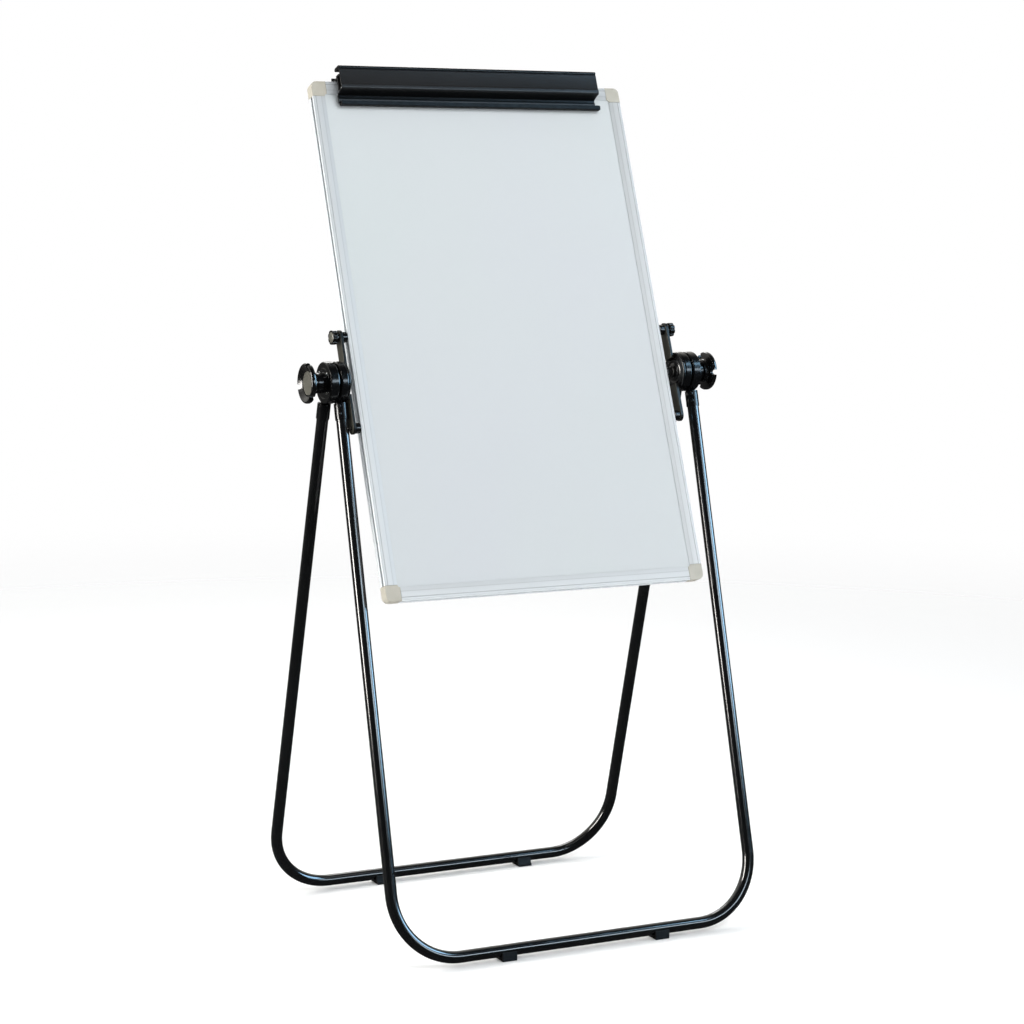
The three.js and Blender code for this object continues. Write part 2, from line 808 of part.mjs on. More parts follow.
// A torsion spring on the hinge rod, its two legs pointing up. Like the legs of
// the stand, it is sampled once per straight and many times per turn.
class SpringLine extends THREE.Curve {
  constructor(startX) {
    super();
    this.startX = startX;
    this.coilRadius = 2.95;
    this.pitch = 1.6;
    this.sweep = (3 * 360 + 162) * deg;
    this.coilSteps = 30;
    this.legLength = 9;
    this.steps = this.coilSteps + 2;
  }

  getUtoTmapping(u) {
    return u;
  }

  coilPoint(turned, target) {
    const x = this.startX + (turned / (2 * Math.PI)) * this.pitch;
    const y = rodY + this.coilRadius * Math.cos(-turned);
    return target.set(x, y, rodZ + this.coilRadius * Math.sin(-turned));
  }

  getPoint(t, target = new THREE.Vector3()) {
    const station = t * this.steps;
    if (station < 1) {
      this.coilPoint(0, target);
      target.z += (1 - station) * this.legLength;
      return target;
    }
    if (station <= this.steps - 1) {
      return this.coilPoint(((station - 1) / this.coilSteps) * this.sweep, target);
    }
    const along = (station - (this.steps - 1)) * this.legLength;
    this.coilPoint(this.sweep, target);
    target.y += along * Math.sin(-this.sweep);
    target.z -= along * Math.cos(-this.sweep);
    return target;
  }
}

function clampSpring(startX) {
  const section = new THREE.Shape(ringPoints(0.6, 5));
  const line = new SpringLine(startX);
  return solidOf(new THREE.ExtrudeGeometry(section, {
    steps: line.steps,
    extrudePath: line,
    bevelEnabled: false,
  }));
}

// ---- assembly ---------------------------------------------------------------

function addTiltFittings(group) {
  const thumbStud = thumbEndX - 4.4;
  const screwHeadEnd = armOuterX + 1.7;
  for (const { name, sign, knobTurn } of sides) {
    group.add(piece(`tilt_bracket_${name}`, tiltBracket(sign), 'castBlack'));
    group.add(piece(`pivot_bolt_${name}`, pivotBolt(sign), 'brightSteel'));
    group.add(piece(`pivot_nut_${name}`, pivotNut(sign), 'blackSteel'));
    group.add(piece(`upper_bolt_${name}`, channelBolt(sign, upperBoltZ, thumbStud), 'brightSteel'));
    const lower = channelBolt(sign, lowerBoltZ, armOuterX + 1, screwHeadEnd);
    group.add(piece(`lower_bolt_${name}`, lower, 'brightSteel'));
    group.add(piece(`upper_spacer_${name}`, spacer(sign, upperBoltZ), 'blackPlastic'));
    group.add(piece(`lower_spacer_${name}`, spacer(sign, lowerBoltZ), 'blackPlastic'));
    group.add(piece(`hand_knob_${name}`, handKnob(sign, knobTurn), 'blackPlastic'));
    group.add(piece(`hand_knob_cap_${name}`, knobCap(sign), 'capSilver'));
    group.add(piece(`thumb_knob_${name}`, movedZ(thumbKnob(sign), upperBoltZ), 'blackPlastic'));
    group.add(piece(`thumb_cap_${name}`, movedZ(thumbCap(sign), upperBoltZ), 'capSilver'));
  }
}

function addBoard(group) {
  for (const { name, sign } of sides) {
    group.add(piece(`frame_${name}`, sideFrame(sign), 'silver'));
    group.add(piece(`corner_top_${name}`, frameCorner(sign, true), 'cornerPlastic'));
    group.add(piece(`corner_bottom_${name}`, frameCorner(sign, false), 'cornerPlastic'));
  }
  group.add(piece('frame_top', crossFrame(true), 'silver'));
  group.add(piece('frame_bottom', crossFrame(false), 'silver'));
  group.add(piece('writing_sheet', panelSheet(-4.8, -4.3), 'writing'));
  group.add(piece('panel_core', panelSheet(-4, 4.3), 'core'));
  group.add(piece('backing_sheet', panelSheet(4.6, 4.9), 'backing'));
}

function addClamp(group) {
  group.add(piece('clamp_base', clampBase(), 'clampBlack'));
  group.add(piece('clamp_jaw', clampJaw(), 'clampBlack'));
  const strip = extrudeX(clampSection(stripSection), clampLeft + 4, clampRight + 9);
  group.add(piece('clamp_strip', strip, 'rubber'));
  const rod = xCylinder(rodRadius, clampLeft + 4, clampRight - 4, rodY, rodZ, 12);
  group.add(piece('clamp_rod', rod, 'brightSteel'));
  clampScrewX.forEach((x, i) => {
    group.add(piece(`clamp_screw_${i + 1}`, clampScrew(x), 'brightSteel'));
  });
  [clampMiddle - knucklePitch, clampMiddle + knucklePitch].forEach((x, i) => {
    const startX = x + knuckleWidth + 3;
    group.add(piece(`clamp_spring_${i + 1}`, clampSpring(startX), 'brightSteel'));
  });
}

const easel = new THREE.Group();
easel.name = 'whiteboard_easel';
addLeg(easel, 'front', -1, false, { left: -132, right: 156 });
addLeg(easel, 'rear', 1, true, { left: -134, right: 153 });

const leaning = new THREE.Group();
leaning.position.z = axisHeight;
leaning.rotation.x = -boardLean;
addTiltFittings(leaning);
addBoard(leaning);
addClamp(leaning);
easel.add(leaning);

export default easel;
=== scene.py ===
"""Looks for the whiteboard easel: smooth pieces, procedural materials, studio and camera."""
import math

import bmesh
import bpy
from mathutils import Matrix, Vector

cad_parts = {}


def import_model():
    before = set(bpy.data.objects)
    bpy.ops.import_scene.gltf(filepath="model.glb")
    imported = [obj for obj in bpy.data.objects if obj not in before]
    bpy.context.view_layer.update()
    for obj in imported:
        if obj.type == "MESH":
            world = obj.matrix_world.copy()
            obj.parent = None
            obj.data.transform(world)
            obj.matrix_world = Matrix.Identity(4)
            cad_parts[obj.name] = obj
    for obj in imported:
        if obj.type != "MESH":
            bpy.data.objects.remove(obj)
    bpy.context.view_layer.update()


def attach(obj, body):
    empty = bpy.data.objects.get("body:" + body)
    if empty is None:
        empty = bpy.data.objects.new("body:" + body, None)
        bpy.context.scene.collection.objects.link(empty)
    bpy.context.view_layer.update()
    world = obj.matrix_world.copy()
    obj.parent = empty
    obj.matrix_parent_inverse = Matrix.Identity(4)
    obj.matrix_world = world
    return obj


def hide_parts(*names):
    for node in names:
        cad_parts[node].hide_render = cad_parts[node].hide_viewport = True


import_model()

MM = 0.001
SIDES = {"left": -1, "right": 1}

# Sizes in millimetres, the same as the CAD's.
AXIS_HEIGHT = 934.0
LEG_SPREAD = math.radians(15.3)
BOARD_LEAN = math.radians(21.1)
TUBE_R = 10.0
BEND_R = 111.0
TUBE_TOP = 38.4
RAIL_HEIGHT = 15.0
LEG_LENGTH = (AXIS_HEIGHT - RAIL_HEIGHT) / math.cos(LEG_SPREAD)
INNER_LEG_X = 326.8
OUTER_LEG_X = 347.6
HALF_WIDTH = 300.0
HALF_HEIGHT = 455.0
BOARD_MID = 79.6
BOARD_TOP = BOARD_MID + HALF_HEIGHT
BOARD_BOTTOM = BOARD_MID - HALF_HEIGHT
FRONT_Y, BACK_Y = -7.0, 13.0
SLOT_FRONT, SLOT_BACK, SLOT_FLOOR = -5.3, 5.4, 8.5
CORNER = 27.0
FACE = 23.0
GAP = 0.3


# ---- where things are -------------------------------------------------------

def on_board(x, y, z):
    """A point of the leaning board's own frame, measured from the hub axis, in metres."""
    c, s = math.cos(BOARD_LEAN), math.sin(BOARD_LEAN)
    return Vector((x, y * c + z * s, AXIS_HEIGHT - y * s + z * c)) * MM


def on_leg(facing):
    """The same for a leg, which hangs from the axis and spreads towards facing (-1 is the front)."""
    c, s = math.cos(LEG_SPREAD), math.sin(LEG_SPREAD) * facing

    def place(x, y, z):
        return Vector((x, y * c - z * s, AXIS_HEIGHT + y * s + z * c)) * MM

    return place


def on_floor(x, y, z):
    return Vector((x, y, z)) * MM


def on_axis(x, y, z):
    """A point measured from the middle of the hub axis."""
    return on_floor(x, y, z + AXIS_HEIGHT)


# ---- mesh makers: each gives (points, faces) in millimetres -------------------

def lathe(profile, steps=64):
    """Turns (radius, along) pairs about the X axis."""
    points, rings = [], []
    for radius, along in profile:
        if radius < 1e-6:
            rings.append([len(points)])
            points.append((along, 0.0, 0.0))
            continue
        ring = []
        for i in range(steps):
            turn = 2 * math.pi * i / steps
            ring.append(len(points))
            points.append((along, radius * math.cos(turn), radius * math.sin(turn)))
        rings.append(ring)
    faces = []
    for a, b in zip(rings, rings[1:]):
        for i in range(steps):
            j = (i + 1) % steps
            if len(a) == 1:
                faces.append((a[0], b[i], b[j]))
            elif len(b) == 1:
                faces.append((a[i], a[j], b[0]))
            else:
                faces.append((a[i], a[j], b[j], b[i]))
    if len(rings[0]) > 1 and len(rings[-1]) > 1:
        for i in range(steps):
            j = (i + 1) % steps
            faces.append((rings[-1][i], rings[-1][j], rings[0][j], rings[0][i]))
    return points, faces


def prism(outline, low, high, lift):
    """Extrudes an outline of (a, b) pairs from low to high; lift turns (a, b, c) into (x, y, z)."""
    n = len(outline)
    points = [lift(a, b, low) for a, b in outline] + [lift(a, b, high) for a, b in outline]
    faces = [tuple(range(n)), tuple(range(2 * n - 1, n - 1, -1))]
    for i in range(n):
        j = (i + 1) % n
        faces.append((i, i + n, j + n, j))
    return points, faces


# Lifts for prism: which axis the outline is drawn along.
def along_x(a, b, c):
    return (c, a, b)


def along_y(a, b, c):
    return (a, c, b)


def along_z(a, b, c):
    return (a, b, c)


def sweep(path, radius, steps=40):
    """A round bar along a list of Vectors that bends in one plane (y is its normal)."""
    points, faces = [], []
    side = Vector((0, 1, 0))
    for i, here in enumerate(path):
        before = path[max(i - 1, 0)]
        after = path[min(i + 1, len(path) - 1)]
        out = (after - before).normalized().cross(side)
        for k in range(steps):
            turn = 2 * math.pi * k / steps
            p = here + out * (radius * math.cos(turn)) + side * (radius * math.sin(turn))
            points.append(tuple(p))
    for i in range(len(path) - 1):
        for k in range(steps):
            m = (k + 1) % steps
            faces.append((i * steps + k, i * steps + m, (i + 1) * steps + m, (i + 1) * steps + k))
    faces.append(tuple(range(steps)))
    last = (len(path) - 1) * steps
    faces.append(tuple(range(last + steps - 1, last - 1, -1)))
    return points, faces


def arc(cx, cy, radius, start, end, steps):
    """Points on an arc, angles in degrees."""
    out = []
    for i in range(steps + 1):
        turn = math.radians(start + (end - start) * i / steps)
        out.append((cx + radius * math.cos(turn), cy + radius * math.sin(turn)))
    return out


def moved(shape, dx=0.0, dy=0.0, dz=0.0):
    points, faces = shape
    return [(x + dx, y + dy, z + dz) for x, y, z in points], faces


def flipped(shape, sign):
    """The same shape on the left (sign -1) or right side of the easel."""
    points, faces = shape
    return [(x * sign, y, z) for x, y, z in points], faces


def joined(*shapes):
    points, faces = [], []
    for p, f in shapes:
        start = len(points)
        points += p
        faces += [tuple(i + start for i in face) for face in f]
    return points, faces


def to_object(name, shape, place):
    points, faces = shape
    mesh = bpy.data.meshes.new(name)
    mesh.from_pydata([place(*p) for p in points], [], faces)
    bm = bmesh.new()
    bm.from_mesh(mesh)
    bmesh.ops.recalc_face_normals(bm, faces=bm.faces)
    bm.to_mesh(mesh)
    bm.free()
    obj = bpy.data.objects.new(name, mesh)
    bpy.context.scene.collection.objects.link(obj)
    return obj


def cut(obj, shape, place):
    """Takes a shape out of an object, for good."""
    tool = to_object("cutter", shape, place)
    modifier = obj.modifiers.new("cut", "BOOLEAN")
    modifier.object = tool
    modifier.solver = "EXACT"
    depsgraph = bpy.context.evaluated_depsgraph_get()
    mesh = bpy.data.meshes.new_from_object(obj.evaluated_get(depsgraph))
    obj.modifiers.remove(modifier)
    old = obj.data
    obj.data = mesh
    bpy.data.meshes.remove(old)
    spare = tool.data
    bpy.data.objects.remove(tool)
    bpy.data.meshes.remove(spare)


def piece(name, shape, place, body, look, stands_for=(), bevel=0.4, cuts=(), angle=32):
    """A finished visual piece: shaded, edge-rounded, riding on its body."""
    obj = shape if isinstance(shape, bpy.types.Object) else to_object(name, shape, place)
    for cutter in cuts:
        cut(obj, cutter, place)
    for polygon in obj.data.polygons:
        polygon.use_smooth = True
    if bevel:
        rounding = obj.modifiers.new("edges", "BEVEL")
        rounding.width = bevel * MM
        rounding.segments = 2
        rounding.limit_method = "ANGLE"
        rounding.angle_limit = math.radians(angle)
        rounding.harden_normals = True
    obj.data.materials.clear()
    obj.data.materials.append(look)
    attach(obj, body)
    if stands_for:
        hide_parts(*stands_for)
    return obj


# ---- materials ----------------------------------------------------------------

class Look:
    """Builds one procedural material around a Principled shader."""

    def __init__(self, name, lean=False):
        self.material = bpy.data.materials.new(name)
        self.material.use_nodes = True
        self.nodes = self.material.node_tree.nodes
        self.links = self.material.node_tree.links
        self.shader = self.nodes["Principled BSDF"]
        coords = self.nodes.new("ShaderNodeTexCoord")
        self.mapping = self.nodes.new("ShaderNodeMapping")
        self.links.new(coords.outputs["Object"], self.mapping.inputs["Vector"])
        if lean:
            self.mapping.inputs["Rotation"].default_value = (BOARD_LEAN, 0, 0)
        self.normal = None

    def set(self, **values):
        for key, value in values.items():
            self.shader.inputs[key.replace("_", " ")].default_value = value
        return self

    def noise(self, scale, stretch=(1, 1, 1), detail=3.0, rough=0.5):
        squeeze = self.nodes.new("ShaderNodeVectorMath")
        squeeze.operation = "MULTIPLY"
        squeeze.inputs[1].default_value = stretch
        self.links.new(self.mapping.outputs["Vector"], squeeze.inputs[0])
        texture = self.nodes.new("ShaderNodeTexNoise")
        texture.inputs["Scale"].default_value = scale
        texture.inputs["Detail"].default_value = detail
        texture.inputs["Roughness"].default_value = rough
        self.links.new(squeeze.outputs["Vector"], texture.inputs["Vector"])
        return texture.outputs["Fac"]

    def ramp(self, factor, stops):
        node = self.nodes.new("ShaderNodeValToRGB")
        elements = node.color_ramp.elements
        while len(elements) > 1:
            elements.remove(elements[-1])
        elements[0].position, elements[0].color = stops[0][0], (*stops[0][1], 1)
        for position, color in stops[1:]:
            element = elements.new(position)
            element.color = (*color, 1)
        self.links.new(factor, node.inputs["Fac"])
        return node.outputs["Color"]

    def color(self, factor, stops):
        self.links.new(self.ramp(factor, stops), self.shader.inputs["Base Color"])
        return self

    def height(self):
        """Height up the board from the hub axis, in metres, for a material that leans with it."""
        split = self.nodes.new("ShaderNodeSeparateXYZ")
        self.links.new(self.mapping.outputs["Vector"], split.inputs[0])
        return self.math("SUBTRACT", split.outputs["Z"], AXIS_HEIGHT * math.cos(BOARD_LEAN) * MM)

    def aside(self):
        """Distance from the middle of the easel, in metres."""
        split = self.nodes.new("ShaderNodeSeparateXYZ")
        self.links.new(self.mapping.outputs["Vector"], split.inputs[0])
        return self.math("ABSOLUTE", split.outputs["X"])

    def math(self, operation, value, second=None):
        node = self.nodes.new("ShaderNodeMath")
        node.operation = operation
        self.links.new(value, node.inputs[0])
        if second is not None:
            node.inputs[1].default_value = second
        return node.outputs["Value"]

    def dim(self, shade, distance, levels):
        """Scales a colour by (millimetres, factor) pairs along a distance."""
        low, high = levels[0][0], levels[-1][0]
        span = self.nodes.new("ShaderNodeMapRange")
        span.inputs["From Min"].default_value = low * MM
        span.inputs["From Max"].default_value = high * MM
        scaled = self.nodes.new("ShaderNodeVectorMath")
        scaled.operation = "MULTIPLY"
        stops = [((at - low) / (high - low), (factor, factor, factor)) for at, factor in levels]
        self.links.new(distance, span.inputs["Value"])
        self.links.new(shade, scaled.inputs[0])
        self.links.new(self.ramp(span.outputs["Result"], stops), scaled.inputs[1])
        self.links.new(scaled.outputs["Vector"], self.shader.inputs["Base Color"])
        return scaled.outputs["Vector"]

    def roughness(self, factor, low, high, start=0.3, end=0.7):
        node = self.nodes.new("ShaderNodeMapRange")
        node.inputs["From Min"].default_value = start
        node.inputs["From Max"].default_value = end
        node.inputs["To Min"].default_value = low
        node.inputs["To Max"].default_value = high
        self.links.new(factor, node.inputs["Value"])
        self.links.new(node.outputs["Result"], self.shader.inputs["Roughness"])
        return self

    def bump(self, height, strength, distance):
        node = self.nodes.new("ShaderNodeBump")
        node.inputs["Strength"].default_value = strength
        node.inputs["Distance"].default_value = distance
        self.links.new(height, node.inputs["Height"])
        if self.normal is not None:
            self.links.new(self.normal, node.inputs["Normal"])
        self.normal = node.outputs["Normal"]
        self.links.new(self.normal, self.shader.inputs["Normal"])
        return self


def black_enamel():
    look = Look("black_enamel").set(Coat_Weight=0.35, Coat_Roughness=0.08, IOR=1.5)
    cloud = look.noise(9, detail=4)
    look.color(cloud, [(0.35, (0.0022, 0.0024, 0.0027)), (0.7, (0.0038, 0.0041, 0.0045))])
    look.roughness(look.noise(60, detail=5), 0.13, 0.2)
    look.bump(look.noise(420, detail=2), 0.04, 0.0001)
    return look.material


def black_moulding(name, base, rough, grain, gloss):
    look = Look(name).set(IOR=1.49, Specular_IOR_Level=gloss)
    dark = tuple(0.7 * c for c in base)
    look.color(look.noise(30, detail=5), [(0.35, dark), (0.7, base)])
    look.roughness(look.noise(90, detail=4), rough - 0.04, rough + 0.05)
    look.bump(look.noise(grain, detail=3), 0.05, 0.00004)
    return look.material


def soft_rubber():
    look = Look("soft_rubber").set(IOR=1.45, Specular_IOR_Level=0.3)
    look.color(look.noise(70, detail=5), [(0.3, (0.0022, 0.0022, 0.0024)), (0.75, (0.005, 0.005, 0.0052))])
    look.roughness(look.noise(140, detail=5), 0.62, 0.85)
    look.bump(look.noise(900, detail=3), 0.4, 0.0002)
    return look.material


def bright_zinc():
    look = Look("bright_zinc").set(Metallic=1.0)
    stops = [(0.3, (0.5, 0.51, 0.53)), (0.55, (0.62, 0.62, 0.62)), (0.8, (0.56, 0.56, 0.52))]
    look.color(look.noise(55, detail=4), stops)
    look.roughness(look.noise(160, detail=5), 0.2, 0.34)
    look.bump(look.noise(1500, detail=2), 0.15, 0.00006)
    return look.material


def blackened_steel():
    look = Look("blackened_steel").set(Metallic=0.6)
    look.color(look.noise(50, detail=5), [(0.3, (0.008, 0.008, 0.008)), (0.7, (0.02, 0.02, 0.019))])
    look.roughness(look.noise(120, detail=4), 0.28, 0.42)
    look.bump(look.noise(1400, detail=2), 0.15, 0.00006)
    return look.material


def dark_arm_steel():
    """Dull olive-grey steel, its narrow edges painted near black as painted shade, so only the faces across
    X keep the olive, a painted reflection.
    """
    look = Look("dark_arm_steel", lean=True).set(Metallic=0.3, Specular_IOR_Level=0.3)
    shade = look.ramp(look.noise(26, detail=5), [(0.3, (0.050, 0.048, 0.038)), (0.7, (0.066, 0.064, 0.052))])
    surface = look.nodes.new("ShaderNodeNewGeometry")
    facing = look.nodes.new("ShaderNodeSeparateXYZ")
    look.links.new(surface.outputs["Normal"], facing.inputs[0])
    # Painted shade and reflection: faces that do not look along X are darkened to a tenth, and faces across
    # X keep their olive.
    painted_shade_by_facing = look.math("MULTIPLY", look.math("ABSOLUTE", facing.outputs["X"]), MM)
    look.dim(shade, painted_shade_by_facing, [(0.0, 0.1), (0.6, 0.12), (0.9, 1.0), (1.0, 1.0)])
    drawn = look.noise(900, stretch=(1, 1, 0.03), detail=4)
    look.roughness(drawn, 0.36, 0.48)
    look.bump(drawn, 0.1, 0.00004)
    return look.material


def frame_aluminium(name, painted_bands, across):
    """Pale satin aluminium, finely lined along its length.

    Painted bands, by the distance out from its inner edge, darken the grooves as painted shade and light the
    outer edge as a painted highlight; that distance runs across the easel on the upright members and up the
    board on the others. It is also painted darker towards the board's top and lighter low down, a painted
    reflection of the pale floor.
    """
    look = Look(name, lean=True).set(Specular_IOR_Level=0.06)
    broad = look.noise(2.2, stretch=(1, 1, 0.5), detail=3)
    shade = look.ramp(broad, [(0.3, (0.67, 0.70, 0.72)), (0.7, (0.72, 0.75, 0.775))])
    # Painted reflection: darker towards the board's top, lighter low down, standing for the reflected pale
    # floor.
    shade = look.dim(shade, look.height(), [(BOARD_BOTTOM, 1.0), (BOARD_MID, 0.98), (BOARD_TOP, 0.84)])
    if across:
        distance = look.aside()
    else:
        distance = look.math("ABSOLUTE", look.math("SUBTRACT", look.height(), BOARD_MID * MM))
    start = (HALF_WIDTH if across else BOARD_TOP - BOARD_MID) - FACE
    # Painted shade in the grooves and a painted highlight on the outer edge.
    look.dim(shade, distance, [(start + at, factor) for at, factor in painted_bands])
    drawn = look.noise(900, stretch=(1, 0.05, 0.02) if across else (0.02, 0.05, 1), detail=3)
    look.roughness(drawn, 0.34, 0.44)
    look.bump(drawn, 0.06, 0.00003)
    return look.material


def corner_plastic():
    look = Look("corner_plastic").set(Specular_IOR_Level=0.15)
    look.color(look.noise(40, detail=5), [(0.3, (0.43, 0.405, 0.345)), (0.7, (0.48, 0.455, 0.395))])
    look.roughness(look.noise(110, detail=4), 0.4, 0.54)
    look.bump(look.noise(1400, detail=3), 0.3, 0.00008)
    return look.material


def writing_enamel():
    """White enamel with the faint haze and wipe marks of a used board."""
    look = Look("writing_enamel", lean=True).set(Specular_IOR_Level=0.03)
    haze = look.noise(2.4, stretch=(1, 1, 0.7), detail=3, rough=0.45)
    stops = [(0.36, (0.572, 0.597, 0.624)), (0.5, (0.573, 0.604, 0.622)), (0.66, (0.566, 0.607, 0.618))]
    look.color(haze, stops)
    wiped = look.noise(16, stretch=(0.25, 1, 1.4), detail=6, rough=0.65)
    look.roughness(wiped, 0.14, 0.24)
    look.bump(look.noise(120, detail=2), 0.03, 0.0001)
    return look.material


def clamp_anodised():
    """Black anodised extrusion with drawing lines along its length, its lower lip and top bead darkened as
    painted shade.
    """
    look = Look("clamp_anodised", lean=True).set(Metallic=0.1, Specular_IOR_Level=0.25)
    cloud = look.noise(20, stretch=(0.3, 1, 1), detail=5)
    shade = look.ramp(cloud, [(0.3, (0.0150, 0.0146, 0.0150)), (0.7, (0.0193, 0.0188, 0.0193))])
    # Painted shade: the lower lip and the top bead darkened by height, the face between left light.
    look.dim(shade, look.height(), [(BOARD_TOP + at, factor) for at, factor in CLAMP_PAINTED_SHADE])
    drawn = look.noise(1300, stretch=(0.02, 1, 1), detail=4)
    look.roughness(drawn, 0.27, 0.35)
    look.bump(drawn, 0.05, 0.00003)
    return look.material


def cap_satin():
    look = Look("cap_satin").set(Metallic=0.25, Coat_Weight=0.1)
    look.color(look.noise(45, detail=5), [(0.3, (0.10, 0.097, 0.08)), (0.7, (0.135, 0.131, 0.108))])
    look.roughness(look.noise(130, detail=4), 0.34, 0.46)
    look.bump(look.noise(1600, detail=2), 0.15, 0.00005)
    return look.material


def core_board():
    look = Look("core_board")
    look.color(look.noise(60, detail=6), [(0.3, (0.36, 0.27, 0.17)), (0.7, (0.48, 0.37, 0.25))])
    look.roughness(look.noise(200, detail=4), 0.8, 0.95)
    look.bump(look.noise(500, detail=4), 0.4, 0.0003)
    return look.material


def backing_coat():
    """Grey coated sheet with a faint spangle."""
    look = Look("backing_coat", lean=True).set(Metallic=0.5)
    look.color(look.noise(38, detail=6, rough=0.7), [(0.3, (0.4, 0.41, 0.42)), (0.7, (0.5, 0.51, 0.52))])
    look.roughness(look.noise(70, detail=5), 0.36, 0.55)
    look.bump(look.noise(240, detail=3), 0.15, 0.0002)
    return look.material


# Painted shade on the clamp by height from the board's top, darkening the downward lip and the top bead:
# (mm, factor).
CLAMP_PAINTED_SHADE = [
    (-46.0, 0.15), (-30.0, 0.1), (-25.5, 0.12), (-23.0, 0.95), (10.0, 0.95), (12.5, 0.2), (20.0, 0.2),
]
# Painted shade and highlight on a frame member, by distance out from its inner edge: the dips are painted
# shade in its grooves, the last band a painted highlight on its outer edge: (mm, factor).
FRAME_PAINTED_SHADE_BANDS = [
    (0.0, 0.79), (6.2, 0.78), (6.6, 0.68), (7.4, 0.68), (7.8, 0.82), (16.4, 0.86), (16.8, 0.66),
    (17.8, 0.66), (18.2, 0.9), (20.4, 0.88), (20.8, 0.72), (21.4, 0.72), (21.8, 1.0), (23.0, 1.0),
]

ENAMEL = black_enamel()
HUB_BLACK = black_moulding("hub_black", (0.0026, 0.0027, 0.0032), 0.2, 700, 0.4)
KNOB_BLACK = black_moulding("knob_black", (0.003, 0.003, 0.0029), 0.17, 1100, 0.55)
RUBBER = soft_rubber()
ZINC = bright_zinc()
BLACK_STEEL = blackened_steel()
BAR = dark_arm_steel()
SIDE_ALUMINIUM = frame_aluminium("frame_aluminium_sides", FRAME_PAINTED_SHADE_BANDS, True)
END_ALUMINIUM = frame_aluminium("frame_aluminium_ends", FRAME_PAINTED_SHADE_BANDS, False)
CORNER_GREY = corner_plastic()
WHITE = writing_enamel()
CLAMP = clamp_anodised()
CAP = cap_satin()
CORE = core_board()
BACKING = backing_coat()


# ---- legs -----------------------------------------------------------------------

BEND_STEPS = 26
END_STRAIGHT = 20.0


def leg_path(left_x, right_x):
    """The leg's centre line, from the left hub down, along the rail and up again."""
    low = -(LEG_LENGTH - BEND_R)
    path = [Vector((left_x, 0, -TUBE_TOP)), Vector((left_x, 0, -TUBE_TOP - END_STRAIGHT))]
    for a, b in arc(left_x + BEND_R, low, BEND_R, 180, 270, BEND_STEPS):
        path.append(Vector((a, 0, b)))
    for a, b in arc(right_x - BEND_R, low, BEND_R, 270, 360, BEND_STEPS):
        path.append(Vector((a, 0, b)))
    path += [Vector((right_x, 0, -TUBE_TOP - END_STRAIGHT)), Vector((right_x, 0, -TUBE_TOP))]
    return path


def leg_tube(name, facing, left_x, right_x):
    shape = sweep(leg_path(left_x, right_x), TUBE_R)
    piece(f"{name}_leg_tube", shape, on_leg(facing), f"{name}_leg", ENAMEL,
          [f"leg_{name}_tube"], bevel=0)


COLLAR_R, COLLAR_BORE_R, COLLAR_FLAT = 11.3, 10.15, 10.2
COLLAR_START, COLLAR_END = 35.4, 63.0
NECK_R, NECK_TOP = 5.5, 27.0
SCREW_DEPTHS = (41.0, 54.0)
SCREW_TURN = math.radians(35)


def leg_socket(name, side, facing, x, toward):
    """The collar around the tube's end, split where the other leg passes it."""
    half = math.degrees(math.acos(COLLAR_FLAT / COLLAR_R))
    outer = arc(0, 0, COLLAR_R, half, 360 - half, 40)
    inner = arc(0, 0, COLLAR_BORE_R, 360 - half - 1, half + 1, 40)
    shell = [(x + toward * a, b) for a, b in outer + inner]
    neck = [(x + a, b) for a, b in arc(0, 0, NECK_R, 0, 345, 23)]
    base = [(x + toward * min(a, COLLAR_FLAT), b) for a, b in arc(0, 0, COLLAR_R, 0, 350, 35)]
    step = -TUBE_TOP + 0.2
    shape = joined(
        prism(shell, -COLLAR_END, step, along_z),
        prism(base, step, -COLLAR_START, along_z),
        prism(neck, -COLLAR_START - 0.5, -NECK_TOP, along_z),
    )
    piece(f"{name}_{side}_socket", shape, on_leg(facing), f"{name}_leg", HUB_BLACK,
          bevel=0.5)


def domed_screw():
    """A pan-head screw standing on the origin, along X, with a cross recess to cut."""
    profile = [
        (0, 2.3), (1.2, 2.25), (2.1, 1.95), (2.8, 1.4), (3.2, 0.6), (3.2, 0.0), (1.6, 0.0), (1.6, -5.0),
        (0, -5.0),
    ]
    slots = []
    for wide, tall in ((1.7, 0.5), (0.5, 1.7)):
        outline = [(-wide, -tall), (wide, -tall), (wide, tall), (-wide, tall)]
        slots.append(prism(outline, 1.5, 4, along_x))
    return lathe(profile, 28), slots


def leg_screws(name, side, facing, x):
    place = on_leg(facing)
    for number, depth in enumerate(SCREW_DEPTHS, 1):
        head, slots = domed_screw()

        def seat(a, b, c, depth=depth):
            out = facing * (COLLAR_R + a)
            turn_c, turn_s = math.cos(SCREW_TURN), math.sin(SCREW_TURN)
            return place(x + out * turn_s + b * turn_c, out * turn_c - b * turn_s, c - depth)

        piece(f"{name}_{side}_screw_{number}", head, seat, f"{name}_leg", BLACK_STEEL,
              [f"screw_{name}_{side}_{number}"], bevel=0, cuts=slots)


DRUM_R = 35.0
INNER_DRUM = (321.2, 334.2)
OUTER_DRUM = (337.6, 353.6)
BOSS_END = 369.4
RIVET_TURNS = [45 + 90 * i for i in range(4)]
RIVET_CIRCLE = 22.0
RIVET_DOME = [(0, 355.2), (1.4, 355.1), (2.4, 354.6), (3.0, 353.9), (3.0, 353.2), (0, 353.2)]


